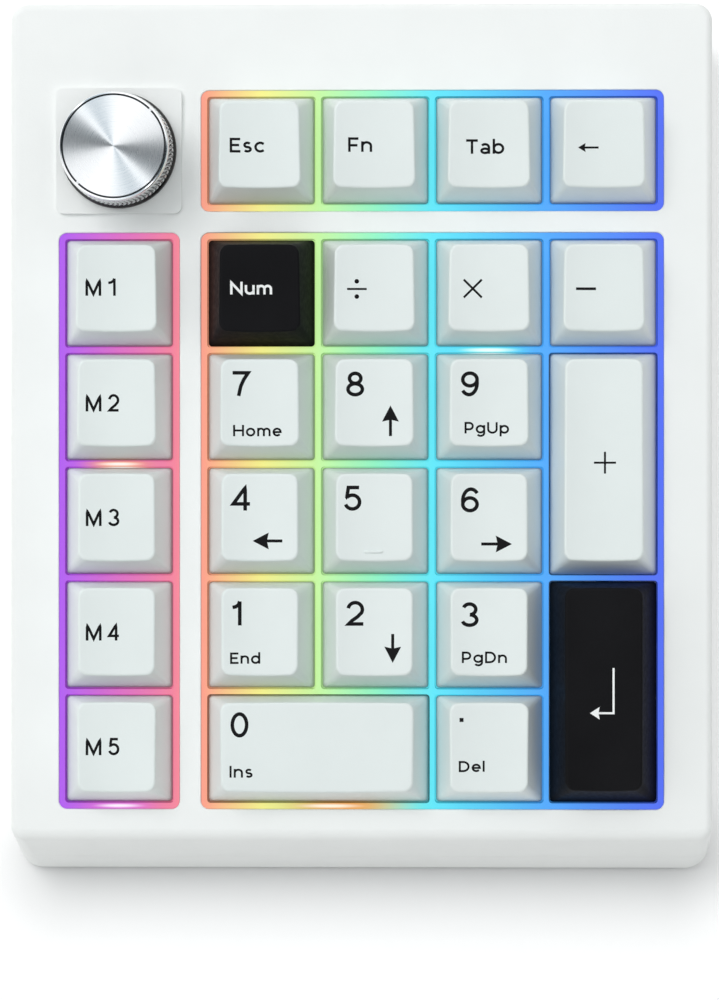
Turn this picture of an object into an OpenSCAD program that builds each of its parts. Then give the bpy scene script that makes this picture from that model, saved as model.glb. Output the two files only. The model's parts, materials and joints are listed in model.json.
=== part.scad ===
// Numeric keypad with a rotary knob, five macro keys and a light frame round every key.
// Everything above the base is drawn in the plane of the switch plate (u across, v to the
// rear, w along the key travel) and then tilted. The origin is on the desk, under the middle.

/* [Keys] */
// Distance between key centres
pitch = 19.05; // [19:0.05:19.3]
// Gap between neighbouring key caps
cap_gap = 1.25; // [1.1:0.05:1.5]
// Travel of a key
travel = 4; // [3:0.1:4]
// Wall of a key cap
cap_wall = 1.4; // [1.2:0.1:1.5]
// How far the sides of a cap lean in
cap_side_lean = 2.7; // [2.4:0.05:3]
// How far the front of a cap leans in, before its row's share
cap_front_lean = 2.65; // [2.4:0.05:2.8]
// How far the back of a cap leans in
cap_rear_lean = 1.2; // [1:0.05:1.8]
// Depth of the dish in a cap
dish_depth = 0.7; // [0.4:0.05:0.8]

/* [Case] */
// Slope of the key field
tilt = 6; // [5:0.5:7]
// Case beside the key field
side_margin = 8.7; // [8.5:0.1:10]
// Case in front of the key field
front_margin = 5.5; // [4:0.1:6]
// Case behind the key field
rear_margin = 15.2; // [14:0.1:17]
// How far the front face leans out at its foot
front_run = 4.2; // [3:0.1:6]
// Height of the plate above the desk, at the middle of the key field
plate_z = 19; // [18.6:0.1:22]
// Thickness of the case walls
wall = 2.2; // [1.8:0.1:2.4]
// Radius of the case's rear upright corners
corner_r = 3; // [3:0.1:4]
// Radius of the case's front upright corners
front_corner_r = 2.4; // [2.4:0.1:6]
// Case opening beyond the key cells
window_margin = 0.6; // [0.57:0.01:0.7]

/* [Light frame] */
// Width of a rib between two caps
rib_w = 0.85; // [0.6:0.05:0.9]
// Ring beyond the key cells
ring_margin = 0.55; // [0.4:0.05:0.55]

/* [Knob] */
// Outer diameter of the knob
knob_d = 18; // [16:0.1:18.4]
// Diameter of the knob's dark ring at its foot
knob_ring_d = 19.4; // [19.2:0.1:19.8]
// Height of the knob
knob_h = 13; // [12:0.1:15]
// Side of the square inlay under the knob
inlay_side = 20.4; // [19:0.1:21]

/* [Feet] */
// Diameter of a rubber foot
foot_d = 10; // [8:0.1:10]
// Gap between the case and the desk
base_z = 1.2; // [1:0.1:1.4]
// Length of a flip-out foot from its hinge
flip_len = 17; // [14:0.5:18]

/* [Hidden] */
$fn = 48;
eps = 0.01;

// Heights along the key travel, from the top face of the switch plate
plate_t = 1.5;
board_top = -5;
board_t = 1.6;
pin_tip = -8.3;
flange_t = 1;
housing_top = 6.6;
skirt_w = 6;
case_top = 7.5;
shell_t = 2.5;
usb_h = 3.26;
split_w = board_top + usb_h / 2;
frame_top = 7.2;
frame_base_t = 1.8;
frame_base_open = 15.2;

// Switch
housing_side = 13.8;
cutout_side = 14;
flange_side = 14.8;
upper_side = 14;
upper_top_x = 10;
upper_top_v = 11.4;
opening_x = 7.4;
opening_v = 5.9;
slider_x = 7;
slider_v = 5.4;
slider_foot = 1.6;
cavity_x = 7.6;
cavity_v = 6;
cavity_floor = -3.4;
spring_top = 5;
spring_d = 3.9;
spring_in_d = 2.3;
spring_bore_d = 4.3;
guide_d = 1.8;
guide_tip = -2.4;
guide_bore_d = 2.2;
guide_bore_end = -7.6;
centre_post_d = 3.9;
pin_d = 1.2;
PINS = [[-3.81, 2.54], [2.54, 5.08]];

// Cross and socket between slider and cap
cross_len = 4;
cross_t = 1.2;
cross_top = 10.2;
cross_gap = 0.1;
post_d = 5.5;
post_gap = 0.05;
ceiling_t = 1.5;

// Stabiliser under a two-unit key, in its own frame: posts along x, wire in front
stab_x = 11.9;
stab_wire_d = 1.4;
stab_wire_v = -8.3;
stab_wire_w = 0.8;
stab_swing = 13.9;
stab_arm = 8.3;
stab_side_x = 3.3;
stab_side_v = 3.6;
stab_open = 5.9;
stab_top = 4.6;
stab_floor = -4;
stab_bottom = -4.6;
stab_slider = 5.4;
stab_foot = 0.3;
stab_slot = [1.1, 4.3];
stab_slot_w = 1.9;
stab_gate = [-2.4, 3.4];
stab_ear = [-1.4, 1.7];
stab_ear_t = 1.1;
stab_ear_v = -9;
stab_clip_d = 1.6;

// Row heights of the caps at the middle, and how much the back stands above the front
CAP_H = [9.4, 8.8, 8.3, 8, 8, 8.3];
CAP_RISE = [1.2, 0.9, 0.5, 0.2, -0.2, -0.5];
// How much more the front of a cap leans in, row by row
CAP_MORE_LEAN = [0.3, 0.3, 0.2, 0.1, 0, -0.4];
cap_corner_r = 0.6;

// Every key: name, column, row, width and depth in units, dark or not
KEYS = [
    ["key_esc", 1.25, 0, 1, 1, false],
    ["key_fn", 2.25, 0, 1, 1, false],
    ["key_tab", 3.25, 0, 1, 1, false],
    ["key_backspace", 4.25, 0, 1, 1, false],
    ["key_m1", 0, 1.25, 1, 1, false],
    ["key_m2", 0, 2.25, 1, 1, false],
    ["key_m3", 0, 3.25, 1, 1, false],
    ["key_m4", 0, 4.25, 1, 1, false],
    ["key_m5", 0, 5.25, 1, 1, false],
    ["key_num", 1.25, 1.25, 1, 1, true],
    ["key_divide", 2.25, 1.25, 1, 1, false],
    ["key_multiply", 3.25, 1.25, 1, 1, false],
    ["key_minus", 4.25, 1.25, 1, 1, false],
    ["key_7", 1.25, 2.25, 1, 1, false],
    ["key_8", 2.25, 2.25, 1, 1, false],
    ["key_9", 3.25, 2.25, 1, 1, false],
    ["key_plus", 4.25, 2.25, 1, 2, false],
    ["key_4", 1.25, 3.25, 1, 1, false],
    ["key_5", 2.25, 3.25, 1, 1, false],
    ["key_6", 3.25, 3.25, 1, 1, false],
    ["key_1", 1.25, 4.25, 1, 1, false],
    ["key_2", 2.25, 4.25, 1, 1, false],
    ["key_3", 3.25, 4.25, 1, 1, false],
    ["key_enter", 4.25, 4.25, 1, 2, true],
    ["key_0", 1.25, 5.25, 2, 1, false],
    ["key_decimal", 3.25, 5.25, 1, 1, false]
];
WIRES = [
    ["stabilizer_wire_plus", "key_plus"],
    ["stabilizer_wire_enter", "key_enter"],
    ["stabilizer_wire_0", "key_0"]
];
field_cols = 5.25;
field_rows = 6.25;

// Places in the plane of the plate
function column_x(col, span) = (col + span / 2 - field_cols / 2) * pitch;
function row_v(row, span) = (field_rows / 2 - row - span / 2) * pitch;
function key_x(key) = column_x(key[1], key[3]);
function key_v(key) = row_v(key[2], key[4]);
function cap_row(key) = ceil(key[2] - 0.5);
function key_named(name) = [for (key = KEYS) if (key[0] == name) key][0];
function is_wide(key) = key[3] > 1;
function is_two_unit(key) = key[3] * key[4] > 1;
knob_x = column_x(0, 1);
knob_v = row_v(0, 1);
half_w = field_cols * pitch / 2 + side_margin;
front_v = -field_rows * pitch / 2 - front_margin;
rear_v = field_rows * pitch / 2 + rear_margin;

// The case's outline from the side, centred between its front foot and its rear wall
rear_off = rear_v * cos(tilt) - case_top * sin(tilt);
front_off = front_v * cos(tilt) - case_top * sin(tilt) - front_run;
half_d = (rear_off - front_off) / 2;
plate_y = -(rear_off + front_off) / 2;
function world_y(v, w) = plate_y + v * cos(tilt) - w * sin(tilt);
function world_z(v, w) = plate_z + v * sin(tilt) + w * cos(tilt);
front_top_y = world_y(front_v, case_top);
front_lean = atan(front_run / (world_z(front_v, case_top) - base_z));
function w_at(y, z) = (z - plate_z) * cos(tilt) - (y - plate_y) * sin(tilt);
function v_at(y, z) = (y - plate_y) * cos(tilt) + (z - plate_z) * sin(tilt);
function plane_z(y, w) = plate_z + (w + (y - plate_y) * sin(tilt)) / cos(tilt);

// Fasteners and feet
case_boss_r = 2.6;
case_screw_x = half_w - 5.3;
CASE_SCREW_Y = [-57, 0, 59];
screw_grip = 4.5;
screw_len = 10;
screw_d = 2;
screw_head_d = 3.8;
screw_head_h = 1.5;
screw_clear_d = 2.4;
screw_sink_d = 4.4;
bar = 0.25 * pitch;
bar_x = column_x(1.25, 0) - bar / 2;
bar_v = row_v(1.25, 0) + bar / 2;
edge_post_x = half_w - 5.5;
PLATE_SCREWS = [
    [bar_x, bar_v],
    [column_x(4.25, 0), bar_v],
    [bar_x, row_v(3.25, 0)],
    [bar_x, row_v(5.25, 0)],
    [-30, rear_v - 8.7],
    [30, rear_v - 8.7],
    [edge_post_x, 32],
    [edge_post_x, -28]
];
plate_post_d = 3.2;
plate_screw_d = 1.4;
plate_hole_d = 1.6;
plate_head_d = 2.8;
plate_head_h = 1;
plate_screw_len = 5;
access_d = 3.4;
foot_h = 1.8;
FEET = [[-46.5, -48], [46.5, -48], [-46.5, 46], [46.5, 46]];
flip_x = 30;
flip_y = 62;
flip_z = 3.6;
flip_r = 1.9;
flip_w = 18;
flip_t = 3;
flip_gap = 0.6;
flip_pocket_h = 5;
flip_wall = 1.5;
flip_pin_d = 2;
flip_pin_len = 1.8;
flip_hole_d = 2.4;

// Socket in the rear wall
usb_w = 8.94;
usb_len = 7.3;
usb_skin = 0.3;
usb_v = v_at(half_d, plane_z(half_d, split_w)) - usb_len - 0.7;
usb_gap = 0.3;
usb_tongue = [6.7, 0.7, 4.6];

// Encoder under the knob
knob_w = case_top + 0.8;
knob_bore_d = 10;
knob_ring_h = 1.9;
knob_flare = 0.3;
inlay_t = 1;
encoder_side = 12;
encoder_top = 1.5;
encoder_cavity_d = 9;
encoder_floor = -3.8;
encoder_push = 0.5;
bushing_d = 7;
bushing_top = 8;
shaft_d = 6;
shaft_foot = -0.4;
shaft_top = 18;
shaft_flat = 1.5;
shaft_flat_w = 9;
plunger_d = 8;
plunger_t = 1.2;

// Small parts on the board
led_size = [3.4, 2.8, 1.5];
led_hole_d = 2.2;
chip_side = 7;
chip_t = 0.9;
chip_x = 15;
board_half_w = 50.3;
board_front_v = -61;
board_rear_v = usb_v + usb_len - 2.1;
plate_front_v = front_v + 2.7;
plate_rear_v = rear_v - 3.9;

// Helpers
module at_plate() {
    translate([0, plate_y, plate_z])
    rotate([tilt, 0, 0])
    children();
}

module at_key(key) {
    translate([key_x(key), key_v(key), 0])
    children();
}

// A stabiliser lies across a wide key and along a deep one
module at_stab(key) {
    at_key(key)
    rotate([0, 0, is_wide(key) ? 0 : 90])
    children();
}

module round_rect(size, r) {
    square([size.x - 2 * r, size.y], center = true);
    square([size.x, size.y - 2 * r], center = true);
    for (sx = [-1, 1], sy = [-1, 1]) {
        translate([sx * (size.x / 2 - r), sy * (size.y / 2 - r)])
        circle(r);
    }
}

module block(size_x, size_v, low, high) {
    translate([-size_x / 2, -size_v / 2, low])
    cube([size_x, size_v, high - low]);
}

module pillar(d, low, high) {
    translate([0, 0, low])
    cylinder(d = d, h = high - low);
}

// A solid that leans in on four sides, as two crossing prisms
module leaning_block(foot, top, shift, low, high, rise) {
    span = 2 * max(foot.x, foot.y);
    intersection() {
        rotate([90, 0, 0])
        linear_extrude(span, center = true)
        polygon([
            [-foot.x / 2, low], [foot.x / 2, low],
            [top.x / 2, high + abs(rise)], [-top.x / 2, high + abs(rise)]
        ]);
        rotate([90, 0, 90])
        linear_extrude(span, center = true)
        polygon([
            [-foot.y / 2, low], [foot.y / 2, low],
            [shift + top.y / 2, high + rise / 2], [shift - top.y / 2, high - rise / 2]
        ]);
    }
}

module cross_shape(len, t, low, high) {
    block(len, t, low, high);
    block(t, len, low, high);
}

// Case
module case_outline(inset) {
    top_w = inset > 0 ? case_top - shell_t : case_top;
    low = inset > 0 ? base_z + 2 : base_z;
    lean = inset / cos(front_lean);
    foot_y = -half_d + lean + (low - base_z) * tan(front_lean);
    ridge_y = front_top_y + lean;
    top_front_y = ridge_y - (case_top - top_w) * tan(front_lean);
    rear_y = half_d - inset;
    polygon([
        [foot_y, low], [rear_y, low],
        [rear_y, plane_z(rear_y, top_w)], [top_front_y, plane_z(top_front_y, top_w)]
    ]);
}

module case_block(inset) {
    intersection() {
        rotate([90, 0, 90])
        linear_extrude(2 * half_w, center = true)
        case_outline(inset);
        linear_extrude(2 * plate_z + rear_v)
        intersection() {
            translate([0, half_d - inset])
            round_rect([2 * (half_w - inset), 4 * (half_d - inset)], max(front_corner_r - inset, 0.3));
            translate([0, inset - half_d])
            round_rect([2 * (half_w - inset), 4 * (half_d - inset)], max(corner_r - inset, 0.3));
        }
    }
}

module above_split() {
    at_plate()
    block(4 * half_w, 4 * half_d, split_w, 3 * plate_z);
}

module below_split() {
    at_plate()
    block(4 * half_w, 4 * half_d, -3 * plate_z, split_w);
}

module at_case_screws() {
    for (sx = [-1, 1], y = CASE_SCREW_Y) {
        translate([sx * case_screw_x, y, plane_z(y, split_w) - screw_grip])
        children();
    }
}

module usb_opening() {
    at_plate()
    translate([0, rear_v, board_top + usb_h / 2])
    rotate([90, 0, 0])
    linear_extrude(4 * usb_len, center = true)
    round_rect([usb_w + 2 * usb_gap, usb_h + 2 * usb_gap], usb_h / 2);
}

module window(first_col, first_row, cols, rows) {
    translate([column_x(first_col, cols), row_v(first_row, rows), case_top - shell_t - eps])
    linear_extrude(shell_t + 1)
    round_rect([cols * pitch + 2 * window_margin, rows * pitch + 2 * window_margin], 1.4);
}

module top_case() {
    color("whitesmoke")
    difference() {
        intersection() {
            union() {
                difference() {
                    case_block(0);
                    case_block(wall);
                }
                intersection() {
                    at_case_screws()
                    cylinder(r = case_boss_r, h = 2 * plate_z);
                    at_plate()
                    block(2 * half_w, 2 * rear_v, -plate_z, case_top - 1);
                }
                at_plate()
                for (p = PLATE_SCREWS) {
                    translate(p)
                    pillar(plate_post_d, 0, case_top - 1);
                }
            }
            above_split();
        }
        at_case_screws()
        cylinder(d = screw_d + 0.2, h = screw_len + 0.5);
        usb_opening();
        at_plate() {
            window(1.25, 0, 4, 1);
            window(0, 1.25, 1, 5);
            window(1.25, 1.25, 4, 5);
            translate([knob_x, knob_v, 0]) {
                pillar(knob_bore_d, case_top - shell_t - 1, case_top + 1);
                translate([0, 0, case_top - inlay_t])
                linear_extrude(2)
                round_rect([inlay_side + 0.4, inlay_side + 0.4], 1.2);
            }
            for (p = PLATE_SCREWS) {
                translate(p)
                pillar(plate_hole_d, -1, plate_screw_len - plate_t + 0.4);
            }
        }
    }
}

module flip_pocket(margin) {
    front = flip_y - flip_len - flip_gap - margin;
    rear = flip_y + flip_r + flip_gap + 1 + margin;
    side = flip_w / 2 + flip_gap + margin;
    low = base_z + (margin > 0 ? 1 : -1);
    translate([-side, front, low])
    cube([2 * side, rear - front, base_z + flip_pocket_h + margin - low]);
}

module at_flip_feet() {
    for (sx = [-1, 1]) {
        translate([sx * flip_x, 0, 0])
        children();
    }
}

module bottom_case() {
    color("whitesmoke")
    difference() {
        union() {
            intersection() {
                difference() {
                    case_block(0);
                    case_block(wall);
                }
                below_split();
            }
            intersection() {
                for (sx = [-1, 1], y = CASE_SCREW_Y) {
                    translate([sx * case_screw_x, y, base_z + 1])
                    cylinder(r = case_boss_r + 0.4, h = 2 * plate_z);
                }
                below_split();
            }
            at_flip_feet()
            flip_pocket(flip_wall);
        }
        at_case_screws() {
            translate([0, 0, -plate_z])
            cylinder(d = screw_sink_d, h = plate_z);
            cylinder(d = screw_clear_d, h = plate_z);
        }
        usb_opening();
        for (p = FEET) {
            translate(p)
            pillar(foot_d + 0.4, 0, foot_h);
        }
        at_flip_feet() {
            flip_pocket(0);
            translate([-flip_w / 2 - flip_gap - flip_pin_len, flip_y, flip_z])
            rotate([0, 90, 0])
            cylinder(d = flip_hole_d, h = flip_w + 2 * (flip_gap + flip_pin_len));
        }
    }
}

module flip_foot(side) {
    color("whitesmoke")
    translate([side * flip_x, flip_y, flip_z])
    difference() {
        union() {
            rotate([0, 90, 0])
            cylinder(r = flip_r, h = flip_w, center = true);
            rotate([0, 90, 0])
            cylinder(d = flip_pin_d, h = flip_w + 2 * (flip_gap + flip_pin_len - 0.4), center = true);
            translate([-flip_w / 2, -flip_len, -flip_r])
            cube([flip_w, flip_len, flip_t]);
        }
        // Thumb groove at the free end
        translate([0, -flip_len, flip_t - flip_r])
        rotate([0, 90, 0])
        cylinder(d = 2.4, h = flip_w - 6, center = true);
    }
}

module flip_foot_left() {
    flip_foot(-1);
}

module flip_foot_right() {
    flip_foot(1);
}

module rubber_feet() {
    color("dimgray")
    for (p = FEET) {
        translate(p)
        rotate_extrude()
        polygon([
            [0, 0], [foot_d / 2 - 0.5, 0], [foot_d / 2, 0.5], [foot_d / 2, foot_h], [0, foot_h]
        ]);
    }
}

module case_screws() {
    color("silver")
    at_case_screws()
    difference() {
        union() {
            cylinder(d = screw_d, h = screw_len);
            pillar(screw_head_d, -screw_head_h, 0);
        }
        block(2.2, 0.5, -screw_head_h - 1, -screw_head_h + 0.8);
        block(0.5, 2.2, -screw_head_h - 1, -screw_head_h + 0.8);
    }
}

module plate_screws() {
    color("silver")
    at_plate()
    for (p = PLATE_SCREWS) {
        translate(p) {
            pillar(plate_screw_d, -plate_t, plate_screw_len - plate_t);
            pillar(plate_head_d, -plate_t - plate_head_h, -plate_t);
        }
    }
}

// Switch plate and circuit board
module led_places() {
    for (key = KEYS) {
        translate([key_x(key), key_v(key) + key[4] * pitch / 2, 0])
        children();
    }
}

module stab_cutout() {
    for (sx = [-1, 1]) {
        translate([sx * stab_x - stab_side_x - 0.1, stab_ear_v - 0.1])
        square([2 * stab_side_x + 0.2, stab_side_v - stab_ear_v + 0.2]);
    }
}

module switch_plate() {
    color("silver")
    at_plate()
    translate([0, 0, -plate_t])
    linear_extrude(plate_t)
    difference() {
        translate([0, (plate_front_v + plate_rear_v) / 2])
        round_rect([2 * half_w - 6, plate_rear_v - plate_front_v], 1);
        for (key = KEYS) {
            at_key(key)
            square(cutout_side, center = true);
            if (is_two_unit(key)) {
                at_stab(key)
                stab_cutout();
            }
        }
        translate([knob_x, knob_v])
        square(encoder_side + 0.4, center = true);
        for (sx = [-1, 1], y = CASE_SCREW_Y) {
            translate([sx * case_screw_x, v_at(y, plane_z(y, -plate_t / 2))])
            circle(case_boss_r + 0.5);
        }
        for (p = PLATE_SCREWS) {
            translate(p)
            circle(d = plate_hole_d + 0.1);
        }
        led_places()
        circle(d = led_hole_d);
    }
}

module circuit_board() {
    color("darkgreen")
    at_plate()
    translate([0, 0, board_top - board_t])
    linear_extrude(board_t)
    difference() {
        translate([-board_half_w, board_front_v])
        square([2 * board_half_w, board_rear_v - board_front_v]);
        for (key = KEYS) {
            at_key(key) {
                circle(d = centre_post_d + 0.3);
                for (p = PINS) {
                    translate(p)
                    circle(d = pin_d + 0.3);
                }
            }
        }
        for (p = PLATE_SCREWS) {
            translate(p)
            circle(d = access_d);
        }
    }
}

module leds() {
    color("white")
    at_plate()
    led_places()
    block(led_size.x, led_size.y, board_top, board_top + led_size.z);
}

module controller_chip() {
    color("#222222")
    at_plate()
    translate([chip_x, rear_v - 9.7, 0]) {
        block(chip_side, chip_side, board_top - board_t - chip_t, board_top - board_t - 0.1);
        block(chip_side + 2, chip_side - 1.4, board_top - board_t - 0.3, board_top - board_t);
        block(chip_side - 1.4, chip_side + 2, board_top - board_t - 0.3, board_top - board_t);
    }
}

module usb_socket() {
    color("silver")
    at_plate()
    translate([0, usb_v, board_top + usb_h / 2])
    rotate([-90, 0, 0]) {
        difference() {
            linear_extrude(usb_len)
            round_rect([usb_w, usb_h], usb_h / 2 - eps);
            translate([0, 0, 1])
            linear_extrude(usb_len)
            round_rect([usb_w - 2 * usb_skin, usb_h - 2 * usb_skin], usb_h / 2 - usb_skin - eps);
        }
        block(usb_tongue.x, usb_tongue.y, 0.5, 1 + usb_tongue.z);
    }
}

// Light frames: thin ribs between the caps on a wider base that closes round each switch
module light_lattice(first_col, first_row, cols, rows, small_open) {
    difference() {
        translate([column_x(first_col, cols), row_v(first_row, rows)])
        round_rect([cols * pitch + 2 * ring_margin, rows * pitch + 2 * ring_margin], 1.3);
        for (key = KEYS) {
            open = is_two_unit(key) ? pitch - rib_w : small_open;
            at_key(key)
            round_rect([(key[3] - 1) * pitch + open, (key[4] - 1) * pitch + open], 0.6);
        }
    }
}

module light_frame(first_col, first_row, cols, rows) {
    color("mediumpurple")
    at_plate() {
        linear_extrude(frame_top)
        light_lattice(first_col, first_row, cols, rows, pitch - rib_w);
        linear_extrude(frame_base_t)
        light_lattice(first_col, first_row, cols, rows, frame_base_open);
    }
}

module light_frame_top() {
    light_frame(1.25, 0, 4, 1);
}

module light_frame_macro() {
    light_frame(0, 1.25, 1, 5);
}

module light_frame_numbers() {
    light_frame(1.25, 1.25, 4, 5);
}

// Switches
module switch_housings_lower() {
    color("#333333")
    at_plate()
    for (key = KEYS) {
        at_key(key)
        difference() {
            union() {
                block(housing_side, housing_side, board_top, eps);
                block(flange_side, flange_side, 0, flange_t);
                pillar(centre_post_d, pin_tip, board_top + eps);
            }
            block(cavity_x, cavity_v, cavity_floor, flange_t + eps);
            pillar(guide_bore_d, guide_bore_end, cavity_floor + eps);
        }
    }
}

module switch_housings_upper() {
    color("#555555")
    at_plate()
    for (key = KEYS) {
        at_key(key)
        difference() {
            leaning_block([upper_side, upper_side], [upper_top_x, upper_top_v], 0, flange_t, housing_top, 0);
            block(opening_x, opening_v, flange_t - eps, housing_top + eps);
        }
    }
}

module switch_springs() {
    color("gold")
    at_plate()
    for (key = KEYS) {
        at_key(key)
        difference() {
            pillar(spring_d, cavity_floor, spring_top);
            pillar(spring_in_d, cavity_floor - 1, spring_top + 1);
        }
    }
}

module switch_pins() {
    color("gold")
    at_plate()
    for (key = KEYS) {
        at_key(key)
        for (p = PINS) {
            translate(p)
            pillar(pin_d, pin_tip, board_top);
        }
    }
}

// Stabilisers
module stab_housing() {
    difference() {
        union() {
            block(2 * stab_side_x, 2 * stab_side_v, stab_bottom, stab_top);
            translate([-stab_side_x, stab_ear_v, stab_ear[0]])
            cube([stab_ear_t, -stab_ear_v - stab_side_v + 1, stab_ear[1] - stab_ear[0]]);
        }
        block(stab_open, stab_open, stab_floor, stab_top + 1);
        translate([-stab_slot_w / 2, -stab_side_v - 1, stab_gate[0]])
        cube([stab_slot_w, stab_side_v, stab_gate[1] - stab_gate[0]]);
        translate([-stab_side_x - 1, stab_wire_v, stab_wire_w])
        rotate([0, 90, 0])
        cylinder(d = stab_clip_d, h = stab_ear_t + 2);
    }
}

module stabilizer_housings() {
    color("#444444")
    at_plate()
    for (key = KEYS) {
        if (is_two_unit(key)) {
            at_stab(key)
            for (side = [0, 1]) {
                mirror([side, 0, 0])
                translate([stab_x, 0, 0])
                stab_housing();
            }
        }
    }
}

module stabilizer_wire(key) {
    color("silver")
    at_plate()
    at_stab(key)
    translate([0, stab_wire_v, stab_wire_w])
    rotate([stab_swing, 0, 0]) {
        rotate([0, 90, 0])
        cylinder(d = stab_wire_d, h = 2 * stab_x, center = true);
        for (sx = [-1, 1]) {
            translate([sx * stab_x, 0, 0]) {
                sphere(d = stab_wire_d);
                rotate([-90, 0, 0])
                cylinder(d = stab_wire_d, h = stab_arm);
            }
        }
    }
}

module stab_slider() {
    difference() {
        union() {
            block(stab_slider, stab_slider, stab_foot, housing_top);
            cross_shape(cross_len, cross_t, housing_top - eps, cross_top);
        }
        translate([-stab_slot_w / 2, -stab_slider, stab_slot[0]])
        cube([stab_slot_w, stab_slider + 0.9, stab_slot[1] - stab_slot[0]]);
    }
}

// Keys
module switch_slider() {
    difference() {
        block(slider_x, slider_v, slider_foot, housing_top);
        pillar(spring_bore_d, slider_foot - 1, spring_top);
    }
    pillar(guide_d, guide_tip, spring_top + eps);
    cross_shape(cross_len, cross_t, housing_top - eps, cross_top);
}

module cap_post(ceiling) {
    difference() {
        pillar(post_d, housing_top + post_gap, ceiling);
        cross_shape(cross_len + cross_gap, cross_t + cross_gap, housing_top - 1, cross_top + 0.2);
    }
}

module cap(key) {
    foot = [key[3] * pitch - cap_gap, key[4] * pitch - cap_gap];
    front_lean_v = cap_front_lean + CAP_MORE_LEAN[cap_row(key)];
    lean_v = front_lean_v + cap_rear_lean;
    shift = (front_lean_v - cap_rear_lean) / 2;
    top = [foot.x - 2 * cap_side_lean, foot.y - lean_v];
    h = CAP_H[cap_row(key)];
    rise = CAP_RISE[cap_row(key)];
    dish_r = (top.x * top.x / 4 + dish_depth * dish_depth) / (2 * dish_depth);
    ceiling = h - dish_depth - ceiling_t - abs(rise) / 2;
    inner = [foot.x - 2 * cap_wall, foot.y - 2 * cap_wall];
    part = ceiling / h;
    inner_top = [inner.x - 2 * cap_side_lean * part, inner.y - lean_v * part];
    color(key[5] ? "#222226" : "whitesmoke")
    translate([0, 0, skirt_w])
    difference() {
        intersection() {
            leaning_block(foot, top, shift, 0, h, rise);
            linear_extrude(2 * h)
            round_rect(foot, cap_corner_r);
        }
        leaning_block(inner, inner_top, shift * part, -eps, ceiling, 0);
        translate([0, shift, h])
        rotate([90 + atan(rise / top.y), 0, 0])
        translate([0, dish_r - dish_depth, 0])
        cylinder(r = dish_r, h = 3 * foot.y, center = true, $fn = 180);
    }
    color(key[5] ? "#222226" : "whitesmoke") {
        cap_post(skirt_w + ceiling + eps);
        if (is_two_unit(key)) {
            rotate([0, 0, is_wide(key) ? 0 : 90])
            for (sx = [-1, 1]) {
                translate([sx * stab_x, 0, 0])
                cap_post(skirt_w + ceiling + eps);
            }
        }
    }
}

module key_part(key) {
    at_plate()
    at_key(key) {
        cap(key);
        color("steelblue")
        switch_slider();
        if (is_two_unit(key)) {
            color("#444444")
            rotate([0, 0, is_wide(key) ? 0 : 90])
            for (sx = [-1, 1]) {
                translate([sx * stab_x, 0, 0])
                stab_slider();
            }
        }
    }
}

// Knob and encoder
module at_knob() {
    at_plate()
    translate([knob_x, knob_v, 0])
    children();
}

module knob() {
    r = knob_d / 2;
    ring_r = knob_ring_d / 2;
    color("silver")
    at_knob()
    translate([0, 0, knob_w])
    difference() {
        rotate_extrude($fn = 96)
        polygon([
            [0, 0], [ring_r, 0], [ring_r, knob_ring_h - 0.5], [r + knob_flare - 0.2, knob_ring_h],
            [r + knob_flare, knob_ring_h + 0.3],
            [r, knob_h - 2.2], [r - 0.2, knob_h - 1], [r - 0.5, knob_h - 0.4],
            [r - 0.7, knob_h - 0.5], [r - 0.9, knob_h], [0, knob_h]
        ]);
        pillar(knob_bore_d, -1, shaft_top - knob_w + 0.5);
    }
}

module knob_bush() {
    color("#333333")
    at_knob()
    difference() {
        pillar(knob_bore_d - 0.1, knob_w + 0.8, shaft_top + 0.4);
        intersection() {
            pillar(shaft_d + 0.1, knob_w, shaft_top + 0.1);
            translate([0, -shaft_flat / 2, 0])
            block(shaft_d + 1, shaft_d + 0.2 - shaft_flat, knob_w, shaft_top + 0.1);
        }
    }
}

module encoder_shaft() {
    color("silver")
    at_knob()
    difference() {
        pillar(shaft_d, shaft_foot, shaft_top);
        translate([0, shaft_d - shaft_flat, 0])
        block(shaft_d + 1, shaft_d, shaft_flat_w, shaft_top + 1);
    }
}

module encoder_bushing() {
    color("silver")
    at_knob()
    difference() {
        pillar(bushing_d, encoder_top, bushing_top);
        pillar(shaft_d + 0.2, encoder_top - 1, bushing_top + 1);
    }
}

module encoder_body() {
    color("#555555")
    at_knob()
    difference() {
        block(encoder_side, encoder_side, board_top, encoder_top);
        pillar(encoder_cavity_d, encoder_floor, encoder_top - 0.8);
        pillar(shaft_d + 0.2, encoder_floor, encoder_top + 1);
    }
}

module encoder_plunger() {
    color("ivory")
    at_knob()
    pillar(plunger_d, shaft_foot - plunger_t, shaft_foot);
}

module knob_base_plate() {
    color("whitesmoke")
    at_knob()
    translate([0, 0, case_top - inlay_t])
    linear_extrude(inlay_t)
    difference() {
        round_rect([inlay_side, inlay_side], 1);
        circle(d = bushing_d + 2);
    }
}

top_case();
bottom_case();
switch_plate();
circuit_board();
light_frame_top();
light_frame_macro();
light_frame_numbers();
switch_housings_lower();
switch_housings_upper();
switch_springs();
switch_pins();
stabilizer_housings();
leds();
controller_chip();
usb_socket();
knob();
knob_bush();
knob_base_plate();
encoder_shaft();
encoder_bushing();
encoder_body();
encoder_plunger();
case_screws();
plate_screws();
rubber_feet();
flip_foot_left();
flip_foot_right();
for (item = WIRES) {
    stabilizer_wire(key_named(item[1]));
}
for (key = KEYS) {
    key_part(key);
}
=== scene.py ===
"""Numeric keypad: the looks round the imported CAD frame. Lengths are in metres."""
import json
import math

import bmesh
import bpy
import numpy as np
from mathutils import Matrix, Vector


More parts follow.
